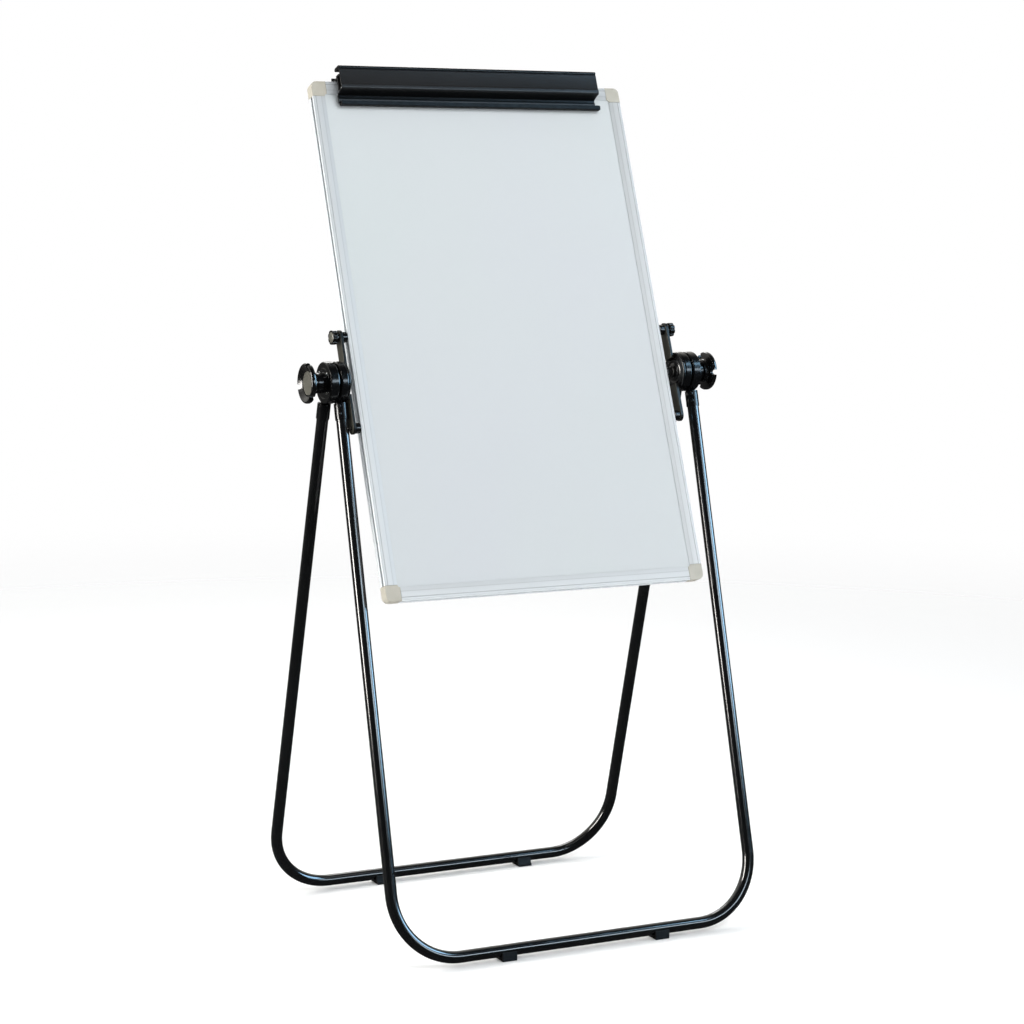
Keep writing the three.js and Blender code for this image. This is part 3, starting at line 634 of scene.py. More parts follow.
def drum_profile(low, high):
    """A hub drum: bevelled rims and a shallow ring sunk in each face."""
    return [
        (0, low), (24, low), (24.4, low + 0.5), (25.6, low + 0.5), (26, low),
        (DRUM_R - 2.0, low), (DRUM_R - 0.6, low + 0.6), (DRUM_R, low + 2.0),
        (DRUM_R, high - 2.0), (DRUM_R - 0.6, high - 0.6), (DRUM_R - 2.0, high),
        (26, high), (25.6, high - 0.5), (24.4, high - 0.5), (24, high), (0, high),
    ]


def rivet(name, side, sign, number):
    turn = math.radians(RIVET_TURNS[number - 1])
    dome = moved(lathe(RIVET_DOME, 24), 0, RIVET_CIRCLE * math.cos(turn), RIVET_CIRCLE * math.sin(turn))
    piece(f"{name}_{side}_rivet_{number}", flipped(dome, sign), on_axis, f"{name}_leg", ZINC,
          bevel=0)


def hub(name, side, facing, outer):
    """A leg's drum on the hub axis with the socket for its tube. The outer one has a boss and rivets."""
    sign = SIDES[side]
    if outer:
        low, high = OUTER_DRUM
        profile = [(0, 334.6), (14, 334.6), (14, low)] + drum_profile(low, high)[1:-1]
        profile += [(17.6, high), (17, 354.2), (17, 367.8), (15.4, BOSS_END), (4.3, BOSS_END), (0, BOSS_END)]
        x, toward = OUTER_LEG_X * sign, -sign
    else:
        profile = drum_profile(*INNER_DRUM)
        x, toward = INNER_LEG_X * sign, sign
    piece(f"{name}_{side}_drum", flipped(lathe(profile, 96), sign), on_axis, f"{name}_leg", HUB_BLACK,
          [f"hub_{name}_{side}"], bevel=0.25, angle=20)
    leg_socket(name, side, facing, x, toward)
    leg_screws(name, side, facing, x)
    if outer:
        for number in range(1, len(RIVET_TURNS) + 1):
            rivet(name, side, sign, number)


FEET = {
    ("front", "left"): -132.0, ("front", "right"): 156.0,
    ("rear", "left"): -134.0, ("rear", "right"): 153.0,
}
FOOT_HALF = 13
CRADLE_R = TUBE_R + 0.35


def foot(name, side, facing):
    """A clip-on foot: a cradle under the rail and a flat pad with grip lines."""
    rail_y = facing * math.sin(LEG_SPREAD) * LEG_LENGTH
    outline = [(-18, 0.0)]
    for i in range(6):
        x = -14 + 4.4 * i
        outline += [(x, 0.0), (x + 0.4, 0.5), (x + 1.2, 0.5), (x + 1.6, 0.0)]
    outline += [(13, 0.0), (13, 3.0), (12.8, RAIL_HEIGHT)]
    outline += arc(0, RAIL_HEIGHT, CRADLE_R, 0, -180, 24)
    outline += [(-12.8, RAIL_HEIGHT), (-13.4, 8.0), (-15.0, 4.2), (-18, 3.0)]
    placed = [(rail_y + facing * a, b) for a, b in outline]
    middle = FEET[name, side]
    shape = prism(placed, middle - FOOT_HALF, middle + FOOT_HALF, along_x)
    piece(f"{name}_{side}_foot", shape, on_floor, f"{name}_leg", RUBBER,
          [f"foot_{name}_{side}"], bevel=0.5, angle=40)


def leg(name, facing, left_outer):
    left_x = -(OUTER_LEG_X if left_outer else INNER_LEG_X)
    right_x = INNER_LEG_X if left_outer else OUTER_LEG_X
    leg_tube(name, facing, left_x, right_x)
    hub(name, "left", facing, left_outer)
    hub(name, "right", facing, not left_outer)
    for side in SIDES:
        foot(name, side, facing)


# ---- tilt arms --------------------------------------------------------------------

def bore(radius, low, high, z=0.0):
    """A round cutter along X at a height z, run past both faces of what it cuts."""
    return moved(lathe([(0, low), (radius, low), (radius, high), (0, high)], 40), 0, 0, z)


def hexagon(radius, low, high):
    outline = arc(0, 0, radius, 0, 300, 5)
    return prism(outline, low, high, along_x)


# Faces across X, arm sizes, and bolt heights on the board.
DISC_IN, DISC_OUT = 315.7, 320.8
FLANGE_X = DISC_IN + 1.5
FLANGE_R = 34.5
ARM_IN, ARM_OUT = 310.3, 315.3
ARM_START, ARM_REACH, ARM_HALF = 23.3, 90.0, 11.0
UPPER_BOLT, LOWER_BOLT = 78.0, -79.6
BOLT_R, BOLT_START, BOLT_HEAD_END = 2.6, 295, 297.4
NUT_BORE_R = 4.2
BOLT_PLATE = [(-4.6, -6), (4.6, -6), (4.6, 6), (-4.6, 6)]


def tilt_disc(side, sign):
    """The disc beside the hub: a raised centre with a ring groove, and a flange."""
    profile = [
        (0, DISC_IN), (15.8, DISC_IN), (16.2, DISC_IN + 0.4), (16.3, DISC_IN + 1.1),
        (17.7, DISC_IN + 1.1), (17.8, DISC_IN + 0.4), (18.2, DISC_IN), (21.2, DISC_IN),
        (21.8, DISC_IN + 0.3), (22.8, FLANGE_X - 0.2), (23.6, FLANGE_X), (31.8, FLANGE_X),
        (33.2, FLANGE_X + 0.3), (34.2, FLANGE_X + 1.1), (FLANGE_R, FLANGE_X + 2),
        (FLANGE_R, DISC_OUT), (0, DISC_OUT),
    ]
    piece(f"{side}_tilt_disc", flipped(lathe(profile, 96), sign), on_board, "tilt_arms", HUB_BLACK,
          [f"tilt_bracket_{side}"], bevel=0)


def tilt_arm(side, sign, name, way, bolt):
    """A flat arm from the flange to a board bolt; way is 1 up, -1 down."""
    round_from = ARM_REACH - ARM_HALF
    end = arc(0, round_from, ARM_HALF, 0, 180, 24)
    outline = [(a, way * b) for a, b in [(ARM_HALF, ARM_START)] + end + [(-ARM_HALF, ARM_START)]]
    plate = to_object("arm", flipped(prism(outline, ARM_IN, ARM_OUT, along_x), sign), on_board)
    cut(plate, flipped(bore(BOLT_R + GAP, 305, 320, bolt), sign), on_board)
    piece(f"{side}_{name}_arm", plate, on_board, "tilt_arms", BAR, bevel=0.7)
    start, end, half = way * ARM_START, way * (FLANGE_R - 3), ARM_HALF - 1
    outline = [(-half, start), (half, start), (half, end), (-half, end)]
    lug = prism(outline, ARM_OUT - 1, FLANGE_X + 1, along_x)
    piece(f"{side}_{name}_arm_lug", flipped(lug, sign), on_board, "tilt_arms", BAR,
          bevel=0.2)


def pivot_bolt(side, sign):
    """The bolt through the hub, with its blackened collar and nut inside the disc."""
    shank = lathe([(0, 303.4), (2.8, 303.5), (3.6, 303.9), (4.0, 304.5), (4.0, 377.4), (0, 377.4)], 40)
    piece(f"{side}_pivot_bolt", flipped(shank, sign), on_board, "tilt_arms", ZINC,
          [f"pivot_bolt_{side}"], bevel=0)
    turned = [
        (NUT_BORE_R, ARM_IN), (9.7, ARM_IN), (10.5, ARM_IN + 0.8), (10.5, 314.6), (9.7, 315.4),
        (NUT_BORE_R, 315.4),
    ]
    collar = lathe(turned, 56)
    nut = to_object("nut", flipped(hexagon(8.0, 304.7, ARM_IN + GAP), sign), on_board)
    cut(nut, flipped(bore(NUT_BORE_R, 300, 320), sign), on_board)
    piece(f"{side}_pivot_collar", flipped(collar, sign), on_board, "tilt_arms", BLACK_STEEL,
          [f"pivot_nut_{side}"], bevel=0)
    piece(f"{side}_pivot_nut", nut, on_board, "tilt_arms", BLACK_STEEL, bevel=0.6)


def channel_bolts(side, sign):
    """The two bolts whose plate heads slide in the frame's channel."""
    head = prism(BOLT_PLATE, 294, BOLT_HEAD_END, along_x)
    stud = lathe([(0, BOLT_START), (BOLT_R, BOLT_START), (BOLT_R, 323.8), (0, 323.8)], 28)
    upper = moved(joined(head, stud), 0, 0, UPPER_BOLT)
    piece(f"{side}_upper_bolt", flipped(upper, sign), on_board, "tilt_arms", ZINC,
          [f"upper_bolt_{side}"], bevel=0.2)
    turned = [
        (0, BOLT_START), (BOLT_R, BOLT_START), (BOLT_R, 315.5), (5.0, 315.5), (5.0, 316.2), (4.4, 316.8),
        (0, 317.0),
    ]
    lower = moved(joined(head, lathe(turned, 36)), 0, 0, LOWER_BOLT)
    socket = moved(hexagon(1.9, 316.1, 318), 0, 0, LOWER_BOLT)
    piece(f"{side}_lower_bolt", flipped(lower, sign), on_board, "tilt_arms", ZINC,
          [f"lower_bolt_{side}"], bevel=0.15, cuts=[flipped(socket, sign)])


def spacers(side, sign):
    turned = [(3, 300.4), (8.2, 300.4), (9, 301.2), (9, 309.2), (8.2, 310), (3, 310)]
    for label, height in (("upper", UPPER_BOLT), ("lower", LOWER_BOLT)):
        ring = moved(lathe(turned, 56), 0, 0, height)
        piece(f"{side}_{label}_spacer", flipped(ring, sign), on_board, "tilt_arms", KNOB_BLACK,
              [f"{label}_spacer_{side}"], bevel=0.3)


# ---- knobs --------------------------------------------------------------------------

def lobed_outline(radius, dip, lobes, phase, steps_each):
    """A round rim with rounded notches: dip is how far in the notches reach."""
    outline = []
    for i in range(lobes * steps_each):
        t = i / steps_each
        wave = math.cos(2 * math.pi * t)
        depth = max(0.0, (wave - 0.35) / 0.65)
        depth = depth * depth * (3 - 2 * depth)
        turn = math.radians(phase + 360 * t / lobes)
        r = radius - dip * depth
        outline.append((r * math.cos(turn), r * math.sin(turn)))
    return outline


KNOB_R, KNOB_END, KNOB_NOTCHES = 33.5, 387.0, 3
NOTCH_HALF, NOTCH_FLOOR = 4.6, 24.0
CAP_R, CAP_SEAT = 20.0, 379.6
KNOB_TURN = {"left": -15.0, "right": 180.0}


def notch(turn, low, high):
    """A cutter for one round-bottomed slot in the knob's rim, turned from +Y towards +Z."""
    half = NOTCH_HALF
    outline = [(KNOB_R + 3, -half), (KNOB_R + 3, half)] + arc(NOTCH_FLOOR + half, 0, half, 90, 270, 14)
    c, s = math.cos(math.radians(turn)), math.sin(math.radians(turn))
    return prism([(a * c - b * s, a * s + b * c) for a, b in outline], low, high, along_x)


def hand_knob(side, sign):
    """A dished knob with slots through its rim, and a satin disc in the dish."""
    body = f"hand_knob_{side}"
    turned = [
        (4.3, 370), (19, 370), (20, 371), (20, 375.4), (20.8, 376.6), (24, 377.6), (31, 378.1),
        (32.6, 378.8), (KNOB_R, 380.4), (KNOB_R, 384.0), (33.3, 385.0), (32.8, 385.9), (32.0, 386.6),
        (31.1, 386.95), (30.5, KNOB_END), (29.8, 386.7), (22.7, 382.0), (22.0, 381.6),
        (CAP_R + 0.4, 381.6), (CAP_R + 0.4, CAP_SEAT), (4.3, CAP_SEAT),
    ]
    knob = to_object(f"{side}_hand_knob", flipped(lathe(turned, 120), sign), on_axis)
    for i in range(KNOB_NOTCHES):
        cut(knob, flipped(notch(KNOB_TURN[side] + 360 * i / KNOB_NOTCHES, 375, 390), sign), on_axis)
    piece(f"{side}_hand_knob", knob, on_axis, body, KNOB_BLACK, [f"hand_knob_{side}"],
          bevel=0.35, angle=30)
    low = CAP_SEAT + GAP
    edge = [(CAP_R, 380.9), (CAP_R - 0.4, 381.4), (CAP_R - 1.2, 381.6), (CAP_R - 1.8, 381.3)]
    dome = [(0, low), (CAP_R, low)] + edge + [(12, 381.5), (0, 381.6)]
    piece(f"{side}_hand_knob_cap", flipped(lathe(dome, 80), sign), on_axis, body, CAP,
          [f"hand_knob_cap_{side}"], bevel=0)


def thumb_knob(side, sign):
    """A small lobed knob on the upper channel bolt, with a domed cap let into its end."""
    body = f"thumb_knob_{side}"

    def place(x, y, z):
        return on_board(x, y, z + UPPER_BOLT)

    rim = prism(lobed_outline(12.2, 1.5, 8, 12.0, 12), 319.8, 328.2, along_x)
    obj = to_object(f"{side}_thumb_knob", flipped(rim, sign), place)
    cut(obj, flipped(bore(9.6, 326.8, 330), sign), place)
    piece(f"{side}_thumb_knob", obj, place, body, KNOB_BLACK,
          [f"thumb_knob_{side}"], bevel=0.6)
    neck = [(2.9, 315.7), (7.2, 315.7), (7.5, 316.0), (7.5, 318.8), (8.6, 319.9), (2.9, 319.9)]
    piece(f"{side}_thumb_knob_neck", flipped(lathe(neck, 48), sign), place, body, KNOB_BLACK,
          bevel=0.2)
    dome = [(0, 329.1), (4, 329.0), (7, 328.6), (8.7, 328.0), (9.2, 327.4), (9.2, 327.1), (0, 327.1)]
    piece(f"{side}_thumb_cap", flipped(lathe(dome, 48), sign), place, body, CAP,
          [f"thumb_cap_{side}"], bevel=0)


# ---- board ----------------------------------------------------------------------------

# The frame section as (distance in from the edge, y).
FRAME_SECTION = [
    (0.0, -5.8), (0.35, -6.65), (1.2, FRONT_Y), (5.1, FRONT_Y), (5.1, -6.4), (6.3, -6.4), (6.3, FRONT_Y),
    (16.5, FRONT_Y), (17.2, -6.6), (22.4, -6.2), (FACE, -5.9), (FACE, SLOT_FRONT),
    (SLOT_FLOOR, SLOT_FRONT), (SLOT_FLOOR, SLOT_BACK), (21.0, SLOT_BACK), (21.0, 7.0), (15.0, BACK_Y),
    (1.0, BACK_Y), (0.0, 12.2), (0.0, 3.2), (1.8, 3.2), (1.8, 5.2), (6.8, 5.2), (6.8, -5.2),
    (1.8, -5.2), (1.8, -3.2), (0.0, -3.2),
]


def frame_members():
    """The two sides, then the top and bottom, each the same extrusion between the corners."""
    end = CORNER + GAP
    for side, sign in SIDES.items():
        outline = [(sign * (HALF_WIDTH - a), b) for a, b in FRAME_SECTION]
        member = prism(outline, BOARD_BOTTOM + end, BOARD_TOP - end, along_z)
        piece(f"{side}_frame", member, on_board, "board", SIDE_ALUMINIUM,
              [f"frame_{side}"], bevel=0.18)
    for name, edge, inward in (("top", BOARD_TOP, -1), ("bottom", BOARD_BOTTOM, 1)):
        outline = [(b, edge + inward * a) for a, b in FRAME_SECTION]
        member = prism(outline, -HALF_WIDTH + end, HALF_WIDTH - end, along_x)
        piece(f"{name}_frame", member, on_board, "board", END_ALUMINIUM,
              [f"frame_{name}"], bevel=0.18)


CORNER_R = 10


def frame_corner(side, sign, name, edge, inward):
    """A moulded corner, rounded outside and in, with a pocket for the panel."""
    bite = CORNER - FACE
    outline = [(CORNER, 0.0)] + arc(CORNER, CORNER, bite, -90, -180, 12) + [(0.0, CORNER)]
    outline += arc(CORNER_R, CORNER_R, CORNER_R, 180, 270, 16)

    def lift(a, b, c):
        return sign * (HALF_WIDTH - a), c, edge + inward * b

    corner = to_object(f"{name}_{side}_corner", prism(outline, FRONT_Y, BACK_Y, lift), on_board)
    past = 40.0
    square = [(SLOT_FLOOR, SLOT_FLOOR), (past, SLOT_FLOOR), (past, past), (SLOT_FLOOR, past)]
    cut(corner, prism(square, SLOT_FRONT, SLOT_BACK, lift), on_board)
    piece(f"{name}_{side}_corner", corner, on_board, "board", CORNER_GREY,
          [f"corner_{name}_{side}"], bevel=0.9, angle=40)


SHEET_R = 3


def panel(name, node, front, back, look):
    """One layer of the panel, with rounded corners, standing in the frame's slot."""
    inset = SLOT_FLOOR + GAP
    x = HALF_WIDTH - inset - SHEET_R
    low, high = BOARD_BOTTOM + inset + SHEET_R, BOARD_TOP - inset - SHEET_R
    outline = []
    for cx, cz, start in ((x, high, 0), (-x, high, 90), (-x, low, 180), (x, low, 270)):
        outline += arc(cx, cz, SHEET_R, start, start + 90, 5)
    layer = prism(outline, front, back, along_y)
    piece(name, layer, on_board, "board", look, [node], bevel=0.08)


def board():
    frame_members()
    for side, sign in SIDES.items():
        frame_corner(side, sign, "top", BOARD_TOP, -1)
        frame_corner(side, sign, "bottom", BOARD_BOTTOM, 1)
    panel("writing_surface", "writing_sheet", -4.8, -4.3, WHITE)
    panel("board_core", "panel_core", -4.0, 4.3, CORE)
    panel("board_back", "backing_sheet", 4.6, 4.9, BACKING)


# ---- paper clamp ------------------------------------------------------------------------

CLAMP_LEFT, CLAMP_RIGHT = -257.0, 242.0
CLAMP_MID = (CLAMP_LEFT + CLAMP_RIGHT) / 2
ROD_Y, ROD_Z = -23.6, BOARD_TOP - 19

# The sections as (distance ahead of the board's middle, height from its top).
# The jaw ends in a round bead above, and in a sprung lip with a ridge below.
JAW_SECTION = [
    (18.6, 12.4), (17.4, 12.7), (16.4, 13.6), (15.8, 14.5), (15.6, 15.5), (15.8, 16.5), (16.4, 17.4),
    (17.4, 18.3), (18.6, 18.6), (33.8, 18.6), (35.0, 18.3), (36.0, 17.4), (36.6, 16.5), (36.8, 15.5),
    (36.6, 14.5), (36, 13.4), (35.4, 12.7), (34.9, 12.3), (35.2, 11.6), (36, 11.2), (36, -14.6),
    (36.4, -16.0), (37.4, -17.2), (37.4, -20.8), (36.8, -23.0), (35.2, -24.6), (24, -26.4),
    (17.6, -28.4), (16.0, -29.8), (15.8, -33.0), (16.6, -34.2), (16.9, -35.6), (16.6, -37.0),
    (15.8, -38.2), (15.6, -43.2), (12.4, -43.2), (12.4, -30), (15.6, -26), (23.6, -23.9),
    (33.8, -22.4), (34.8, -21.4), (34.8, -18), (33.4, -16), (33.4, 10.6), (31.6, 12.4),
]
STRIP_SECTION = [
    (7.4, -44), (7.9, -45.2), (9.4, -46), (16.6, -46), (18, -44.8), (18, -39.4), (17.1, -38.5),
    (15.9, -38.5), (15.9, -43.5), (12.1, -43.5), (12.1, -36), (9.4, -36), (7.4, -40),
]
BASE_SECTION = [
    (-7, 0.6), (15.5, 0.6), (15.5, -20), (19, -20), (19, 3.6), (25, 3.6), (25, 6.4), (14, 6.4),
    (14, 3.6), (-4.4, 3.6), (-4.4, 10.4), (-7, 10.4),
]


def clamp_outline(section):
    return [(-ahead, BOARD_TOP + up) for ahead, up in section]


KNUCKLES = [CLAMP_MID + 100 * i for i in range(-2, 3)]
KNUCKLE_BORE_R, KNUCKLE_R, WEB_HALF = 2.3, 4.2, 2
ROD_R, ROD_CHAMFER, ROD_INSET = 2, 0.3, 4


def knuckle_row(low, high, web_from, web_to):
    """Hinge barrels with their webs, one for each knuckle station."""
    shapes = []
    under, over = ROD_Z - WEB_HALF, ROD_Z + WEB_HALF
    for x in KNUCKLES:
        start, end = x + low, x + high
        turned = [(KNUCKLE_BORE_R, start), (KNUCKLE_R, start), (KNUCKLE_R, end), (KNUCKLE_BORE_R, end)]
        shapes.append(moved(lathe(turned, 36), 0, ROD_Y, ROD_Z))
        web = [(-web_from, under), (-web_to, under), (-web_to, over), (-web_from, over)]
        shapes.append(prism(web, start, end, along_x))
    return shapes


SPRING_R, SPRING_WIRE_R, SPRING_PITCH, SPRING_LEG = 2.95, 0.6, 1.6, 9.0
SPRING_SWEEP, SPRING_STEPS = 3 * 360 + 162, 90
CLAMP_SCREW_SEAT, CLAMP_SCREW_SCALE = 3.7, 1.2


def spring(number, start_x):
    """A torsion spring wound on the hinge rod, drawn as one wire."""
    curve = bpy.data.curves.new(f"clamp_spring_{number}", "CURVE")
    curve.dimensions = "3D"
    curve.bevel_depth = SPRING_WIRE_R * MM
    curve.bevel_resolution = 3
    curve.use_fill_caps = True
    points = [(start_x, ROD_Y + SPRING_R, ROD_Z + SPRING_LEG)]
    for i in range(SPRING_STEPS + 1):
        turned = SPRING_SWEEP * i / SPRING_STEPS
        turn = math.radians(-turned)
        x = start_x + SPRING_PITCH * turned / 360
        points.append((x, ROD_Y + SPRING_R * math.cos(turn), ROD_Z + SPRING_R * math.sin(turn)))
    end = math.radians(-SPRING_SWEEP)
    x, y, z = points[-1]
    points.append((x, y + SPRING_LEG * math.sin(end), z - SPRING_LEG * math.cos(end)))
    line = curve.splines.new("POLY")
    line.points.add(len(points) - 1)
    for point, at in zip(line.points, points):
        point.co = (*on_board(*at), 1)
    line.use_smooth = True
    obj = bpy.data.objects.new(f"paper_clamp_spring_{number}", curve)
    bpy.context.scene.collection.objects.link(obj)
    obj.data.materials.append(ZINC)
    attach(obj, "board")
    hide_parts(f"clamp_spring_{number}")


def clamp_screw(number, x):
    """A screw down through the clamp's base into a square nut in the frame's channel."""
    (points, faces), _ = domed_screw()

    def seat(a, b, c):
        return on_board(x + b, c, BOARD_TOP + CLAMP_SCREW_SEAT + a)

    head = [(a * CLAMP_SCREW_SCALE, b * CLAMP_SCREW_SCALE, c * CLAMP_SCREW_SCALE) for a, b, c in points]
    shank = prism(arc(0, 0, 2, 0, 345, 23), -9, 0.4, along_x)
    nut = prism([(-5, -4.6), (5, -4.6), (5, 4.6), (-5, 4.6)], -9.6, -6.4, along_x)
    piece(f"paper_clamp_screw_{number}", joined((head, faces), shank, nut), seat, "board", ZINC,
          [f"clamp_screw_{number}"], bevel=0)


def clamp_rod():
    start, end = CLAMP_LEFT + ROD_INSET, CLAMP_RIGHT - ROD_INSET
    thin = ROD_R - ROD_CHAMFER
    turned = [
        (0, start), (thin, start), (ROD_R, start + ROD_CHAMFER), (ROD_R, end - ROD_CHAMFER), (thin, end),
        (0, end),
    ]
    rod = moved(lathe(turned, 28), 0, ROD_Y, ROD_Z)
    piece("clamp_pin", rod, on_board, "board", ZINC, ["clamp_rod"], bevel=0)


def clamp():
    """The jaw with its strip on the clamp_jaw body, and the base, rod, screws and springs on the board."""
    jaw = prism(clamp_outline(JAW_SECTION), CLAMP_LEFT, CLAMP_RIGHT, along_x)
    piece("clamp_plate", jaw, on_board, "clamp_jaw", CLAMP, ["clamp_jaw"], bevel=0.3)
    barrels = joined(*knuckle_row(0.15, 12.15, 26.5, 35.5))
    piece("clamp_plate_knuckles", barrels, on_board, "clamp_jaw", CLAMP, bevel=0.2)
    base = prism(clamp_outline(BASE_SECTION), CLAMP_LEFT + 2, CLAMP_RIGHT - 2, along_x)
    piece("clamp_rail", base, on_board, "board", CLAMP, ["clamp_base"], bevel=0.3)
    barrels = joined(*knuckle_row(-12.15, -0.15, 16, 20.5))
    piece("clamp_rail_knuckles", barrels, on_board, "board", CLAMP, bevel=0.2)
    strip = prism(clamp_outline(STRIP_SECTION), CLAMP_LEFT + 4, CLAMP_RIGHT + 9, along_x)
    piece("clamp_grip", strip, on_board, "clamp_jaw", RUBBER, ["clamp_strip"], bevel=0.3)
    clamp_rod()
    for number, offset in ((1, -150), (2, 150)):
        clamp_screw(number, CLAMP_MID + offset)
    for number, offset in ((1, -100), (2, 100)):
        spring(number, CLAMP_MID + offset + 15)


# ---- studio --------------------------------------------------------------------------------

def floor():
    """A pale floor that fades into the backdrop, and shows only faintly in reflections."""
    bpy.ops.mesh.primitive_circle_add(vertices=96, radius=6.0, fill_type="NGON", location=(0, 0, -0.0005))
    ground = bpy.context.object
    ground.name = "studio_floor"
    material = bpy.data.materials.new("studio_floor")
    material.use_nodes = True
    nodes, links = material.node_tree.nodes, material.node_tree.links
    shader = nodes["Principled BSDF"]
    shader.inputs["Base Color"].default_value = (0.97, 0.97, 0.97, 1)
    shader.inputs["Roughness"].default_value = 0.7
    coords = nodes.new("ShaderNodeTexCoord")
    length = nodes.new("ShaderNodeVectorMath")
    length.operation = "LENGTH"
    fade = nodes.new("ShaderNodeMapRange")
    fade.interpolation_type = "SMOOTHSTEP"
    fade.inputs["From Min"].default_value = 1.0
    fade.inputs["From Max"].default_value = 5.0
    clear = nodes.new("ShaderNodeBsdfTransparent")
    mix = nodes.new("ShaderNodeMixShader")
    path = nodes.new("ShaderNodeLightPath")
    hidden = nodes.new("ShaderNodeMath")
    hidden.operation = "MULTIPLY_ADD"
    hidden.inputs[1].default_value = 0.98
    hidden.use_clamp = True
    links.new(coords.outputs["Object"], length.inputs[0])
    links.new(length.outputs["Value"], fade.inputs["Value"])
    links.new(path.outputs["Is Glossy Ray"], hidden.inputs[0])
    links.new(fade.outputs["Result"], hidden.inputs[2])
    links.new(hidden.outputs["Value"], mix.inputs["Fac"])
    links.new(shader.outputs["BSDF"], mix.inputs[1])
    links.new(clear.outputs["BSDF"], mix.inputs[2])
    links.new(mix.outputs["Shader"], nodes["Material Output"].inputs["Surface"])
    ground.data.materials.append(material)


def background(nodes, color, strength):
    node = nodes.new("ShaderNodeBackground")
    node.inputs["Color"].default_value = (*color, 1)
    node.inputs["Strength"].default_value = strength
    return node


def world():
    """White to the camera, a soft white as light, and dark in reflections but for a pale wall behind."""
    sky = bpy.data.worlds.new("studio")
    bpy.context.scene.world = sky
    sky.use_nodes = True
    nodes, links = sky.node_tree.nodes, sky.node_tree.links
    seen = background(nodes, (1, 1, 1), 1.0)
    ambient = background(nodes, (0.97, 0.985, 1.0), 0.64)
    cards = background(nodes, (0.9, 0.95, 1.0), 0.035)
    wall = background(nodes, (1.0, 0.98, 0.92), 1.1)
    coords = nodes.new("ShaderNodeTexCoord")
    split = nodes.new("ShaderNodeSeparateXYZ")
    behind = nodes.new("ShaderNodeMapRange")
    behind.inputs["From Min"].default_value = 0.1
    behind.inputs["From Max"].default_value = 0.7
    above = nodes.new("ShaderNodeMapRange")
    above.inputs["From Min"].default_value = 0.05
    above.inputs["From Max"].default_value = 0.35
    above.inputs["To Min"].default_value = 0.08
    lit = nodes.new("ShaderNodeMath")
    lit.operation = "MULTIPLY"
    path = nodes.new("ShaderNodeLightPath")
    reflected = nodes.new("ShaderNodeMixShader")
    glossy = nodes.new("ShaderNodeMixShader")
    camera_view = nodes.new("ShaderNodeMixShader")
    links.new(coords.outputs["Generated"], split.inputs[0])
    links.new(split.outputs["Y"], behind.inputs["Value"])
    links.new(split.outputs["Z"], above.inputs["Value"])
    links.new(behind.outputs["Result"], lit.inputs[0])
    links.new(above.outputs["Result"], lit.inputs[1])
    links.new(lit.outputs["Value"], reflected.inputs["Fac"])
    links.new(cards.outputs["Background"], reflected.inputs[1])
    links.new(wall.outputs["Background"], reflected.inputs[2])
    links.new(path.outputs["Is Glossy Ray"], glossy.inputs["Fac"])
    links.new(ambient.outputs["Background"], glossy.inputs[1])
    links.new(reflected.outputs["Shader"], glossy.inputs[2])
    links.new(path.outputs["Is Camera Ray"], camera_view.inputs["Fac"])
    links.new(glossy.outputs["Shader"], camera_view.inputs[1])
    links.new(seen.outputs["Background"], camera_view.inputs[2])
    links.new(camera_view.outputs["Shader"], nodes["World Output"].inputs["Surface"])


AIM = Vector((0, 0, 0.9))


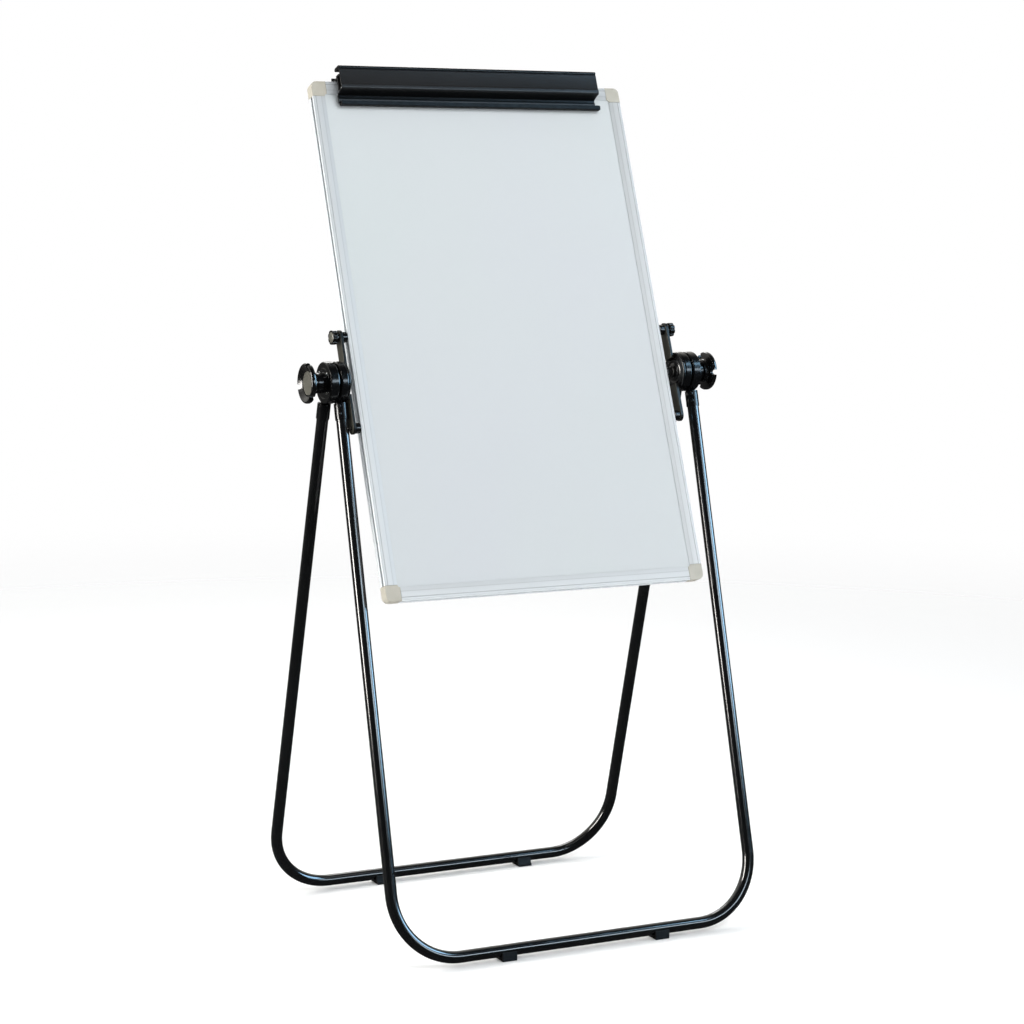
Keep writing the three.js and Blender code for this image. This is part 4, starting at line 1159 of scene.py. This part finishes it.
def softbox(name, around, up, distance, size, power, color, role="full"):
    """A soft light aimed at the hubs, placed by degrees round to the right of the front, and up.

    A light with the role "shine" is seen only in reflections, and one with "fill" never is.
    """
    turn, rise = math.radians(around), math.radians(up)
    away = Vector((math.sin(turn) * math.cos(rise), -math.cos(turn) * math.cos(rise), math.sin(rise)))
    data = bpy.data.lights.new(name, "AREA")
    data.shape = "RECTANGLE"
    data.size, data.size_y = size
    data.energy = power
    data.color = color
    light = bpy.data.objects.new(name, data)
    bpy.context.scene.collection.objects.link(light)
    light.location = AIM + away * distance
    light.rotation_euler = (-away).to_track_quat("-Z", "Y").to_euler()
    light.visible_camera = False
    light.visible_glossy = role != "fill"
    light.visible_diffuse = role != "shine"


def lights():
    softbox("left_softbox", -90, 14, 3.4, (0.8, 2.6), 230, (1.0, 0.97, 0.93), "shine")
    softbox("right_window", 61, 20, 3.6, (1.7, 2.8), 260, (0.42, 0.72, 1.0), "shine")
    softbox("front_strip", 26, 13, 5.0, (2.2, 0.9), 75, (0.72, 0.87, 1.0), "shine")
    softbox("front_fill", 10, 42, 3.6, (2.4, 1.6), 77, (0.97, 1.0, 1.0), "fill")
    softbox("side_fill", -108, 12, 3.4, (1.6, 2.6), 105, (1.0, 0.98, 0.92), "fill")
    softbox("back_fill", 165, 35, 3.8, (1.6, 1.6), 40, (1.0, 1.0, 1.0))


def camera():
    """Left of the easel's front and above its middle, tilted slightly down."""
    around, down, roll = math.radians(26.06), math.radians(5.768), math.radians(0.426)
    forward = Vector((math.sin(around) * math.cos(down), math.cos(around) * math.cos(down), -math.sin(down)))
    right = Vector((math.cos(around), -math.sin(around), 0))
    up = right.cross(forward)
    right, up = (right * math.cos(roll) + up * math.sin(roll), up * math.cos(roll) - right * math.sin(roll))
    data = bpy.data.cameras.new("camera")
    data.sensor_width = 36.0
    data.lens = 88.95
    data.shift_x = 0.041
    data.shift_y = -0.08
    data.clip_end = 100
    view = bpy.data.objects.new("camera", data)
    bpy.context.scene.collection.objects.link(view)
    turn = Matrix((right, up, -forward)).transposed().to_4x4()
    view.matrix_world = Matrix.Translation((-1.9651, -3.8487, 1.2783)) @ turn
    bpy.context.scene.camera = view


leg("front", -1, False)
leg("rear", 1, True)
for side, sign in SIDES.items():
    tilt_disc(side, sign)
    tilt_arm(side, sign, "upper", 1, UPPER_BOLT)
    tilt_arm(side, sign, "lower", -1, LOWER_BOLT)
    pivot_bolt(side, sign)
    channel_bolts(side, sign)
    spacers(side, sign)
    hand_knob(side, sign)
    thumb_knob(side, sign)
board()
clamp()
floor()
world()
lights()
camera()
bpy.context.scene.view_settings.view_transform = "Standard"
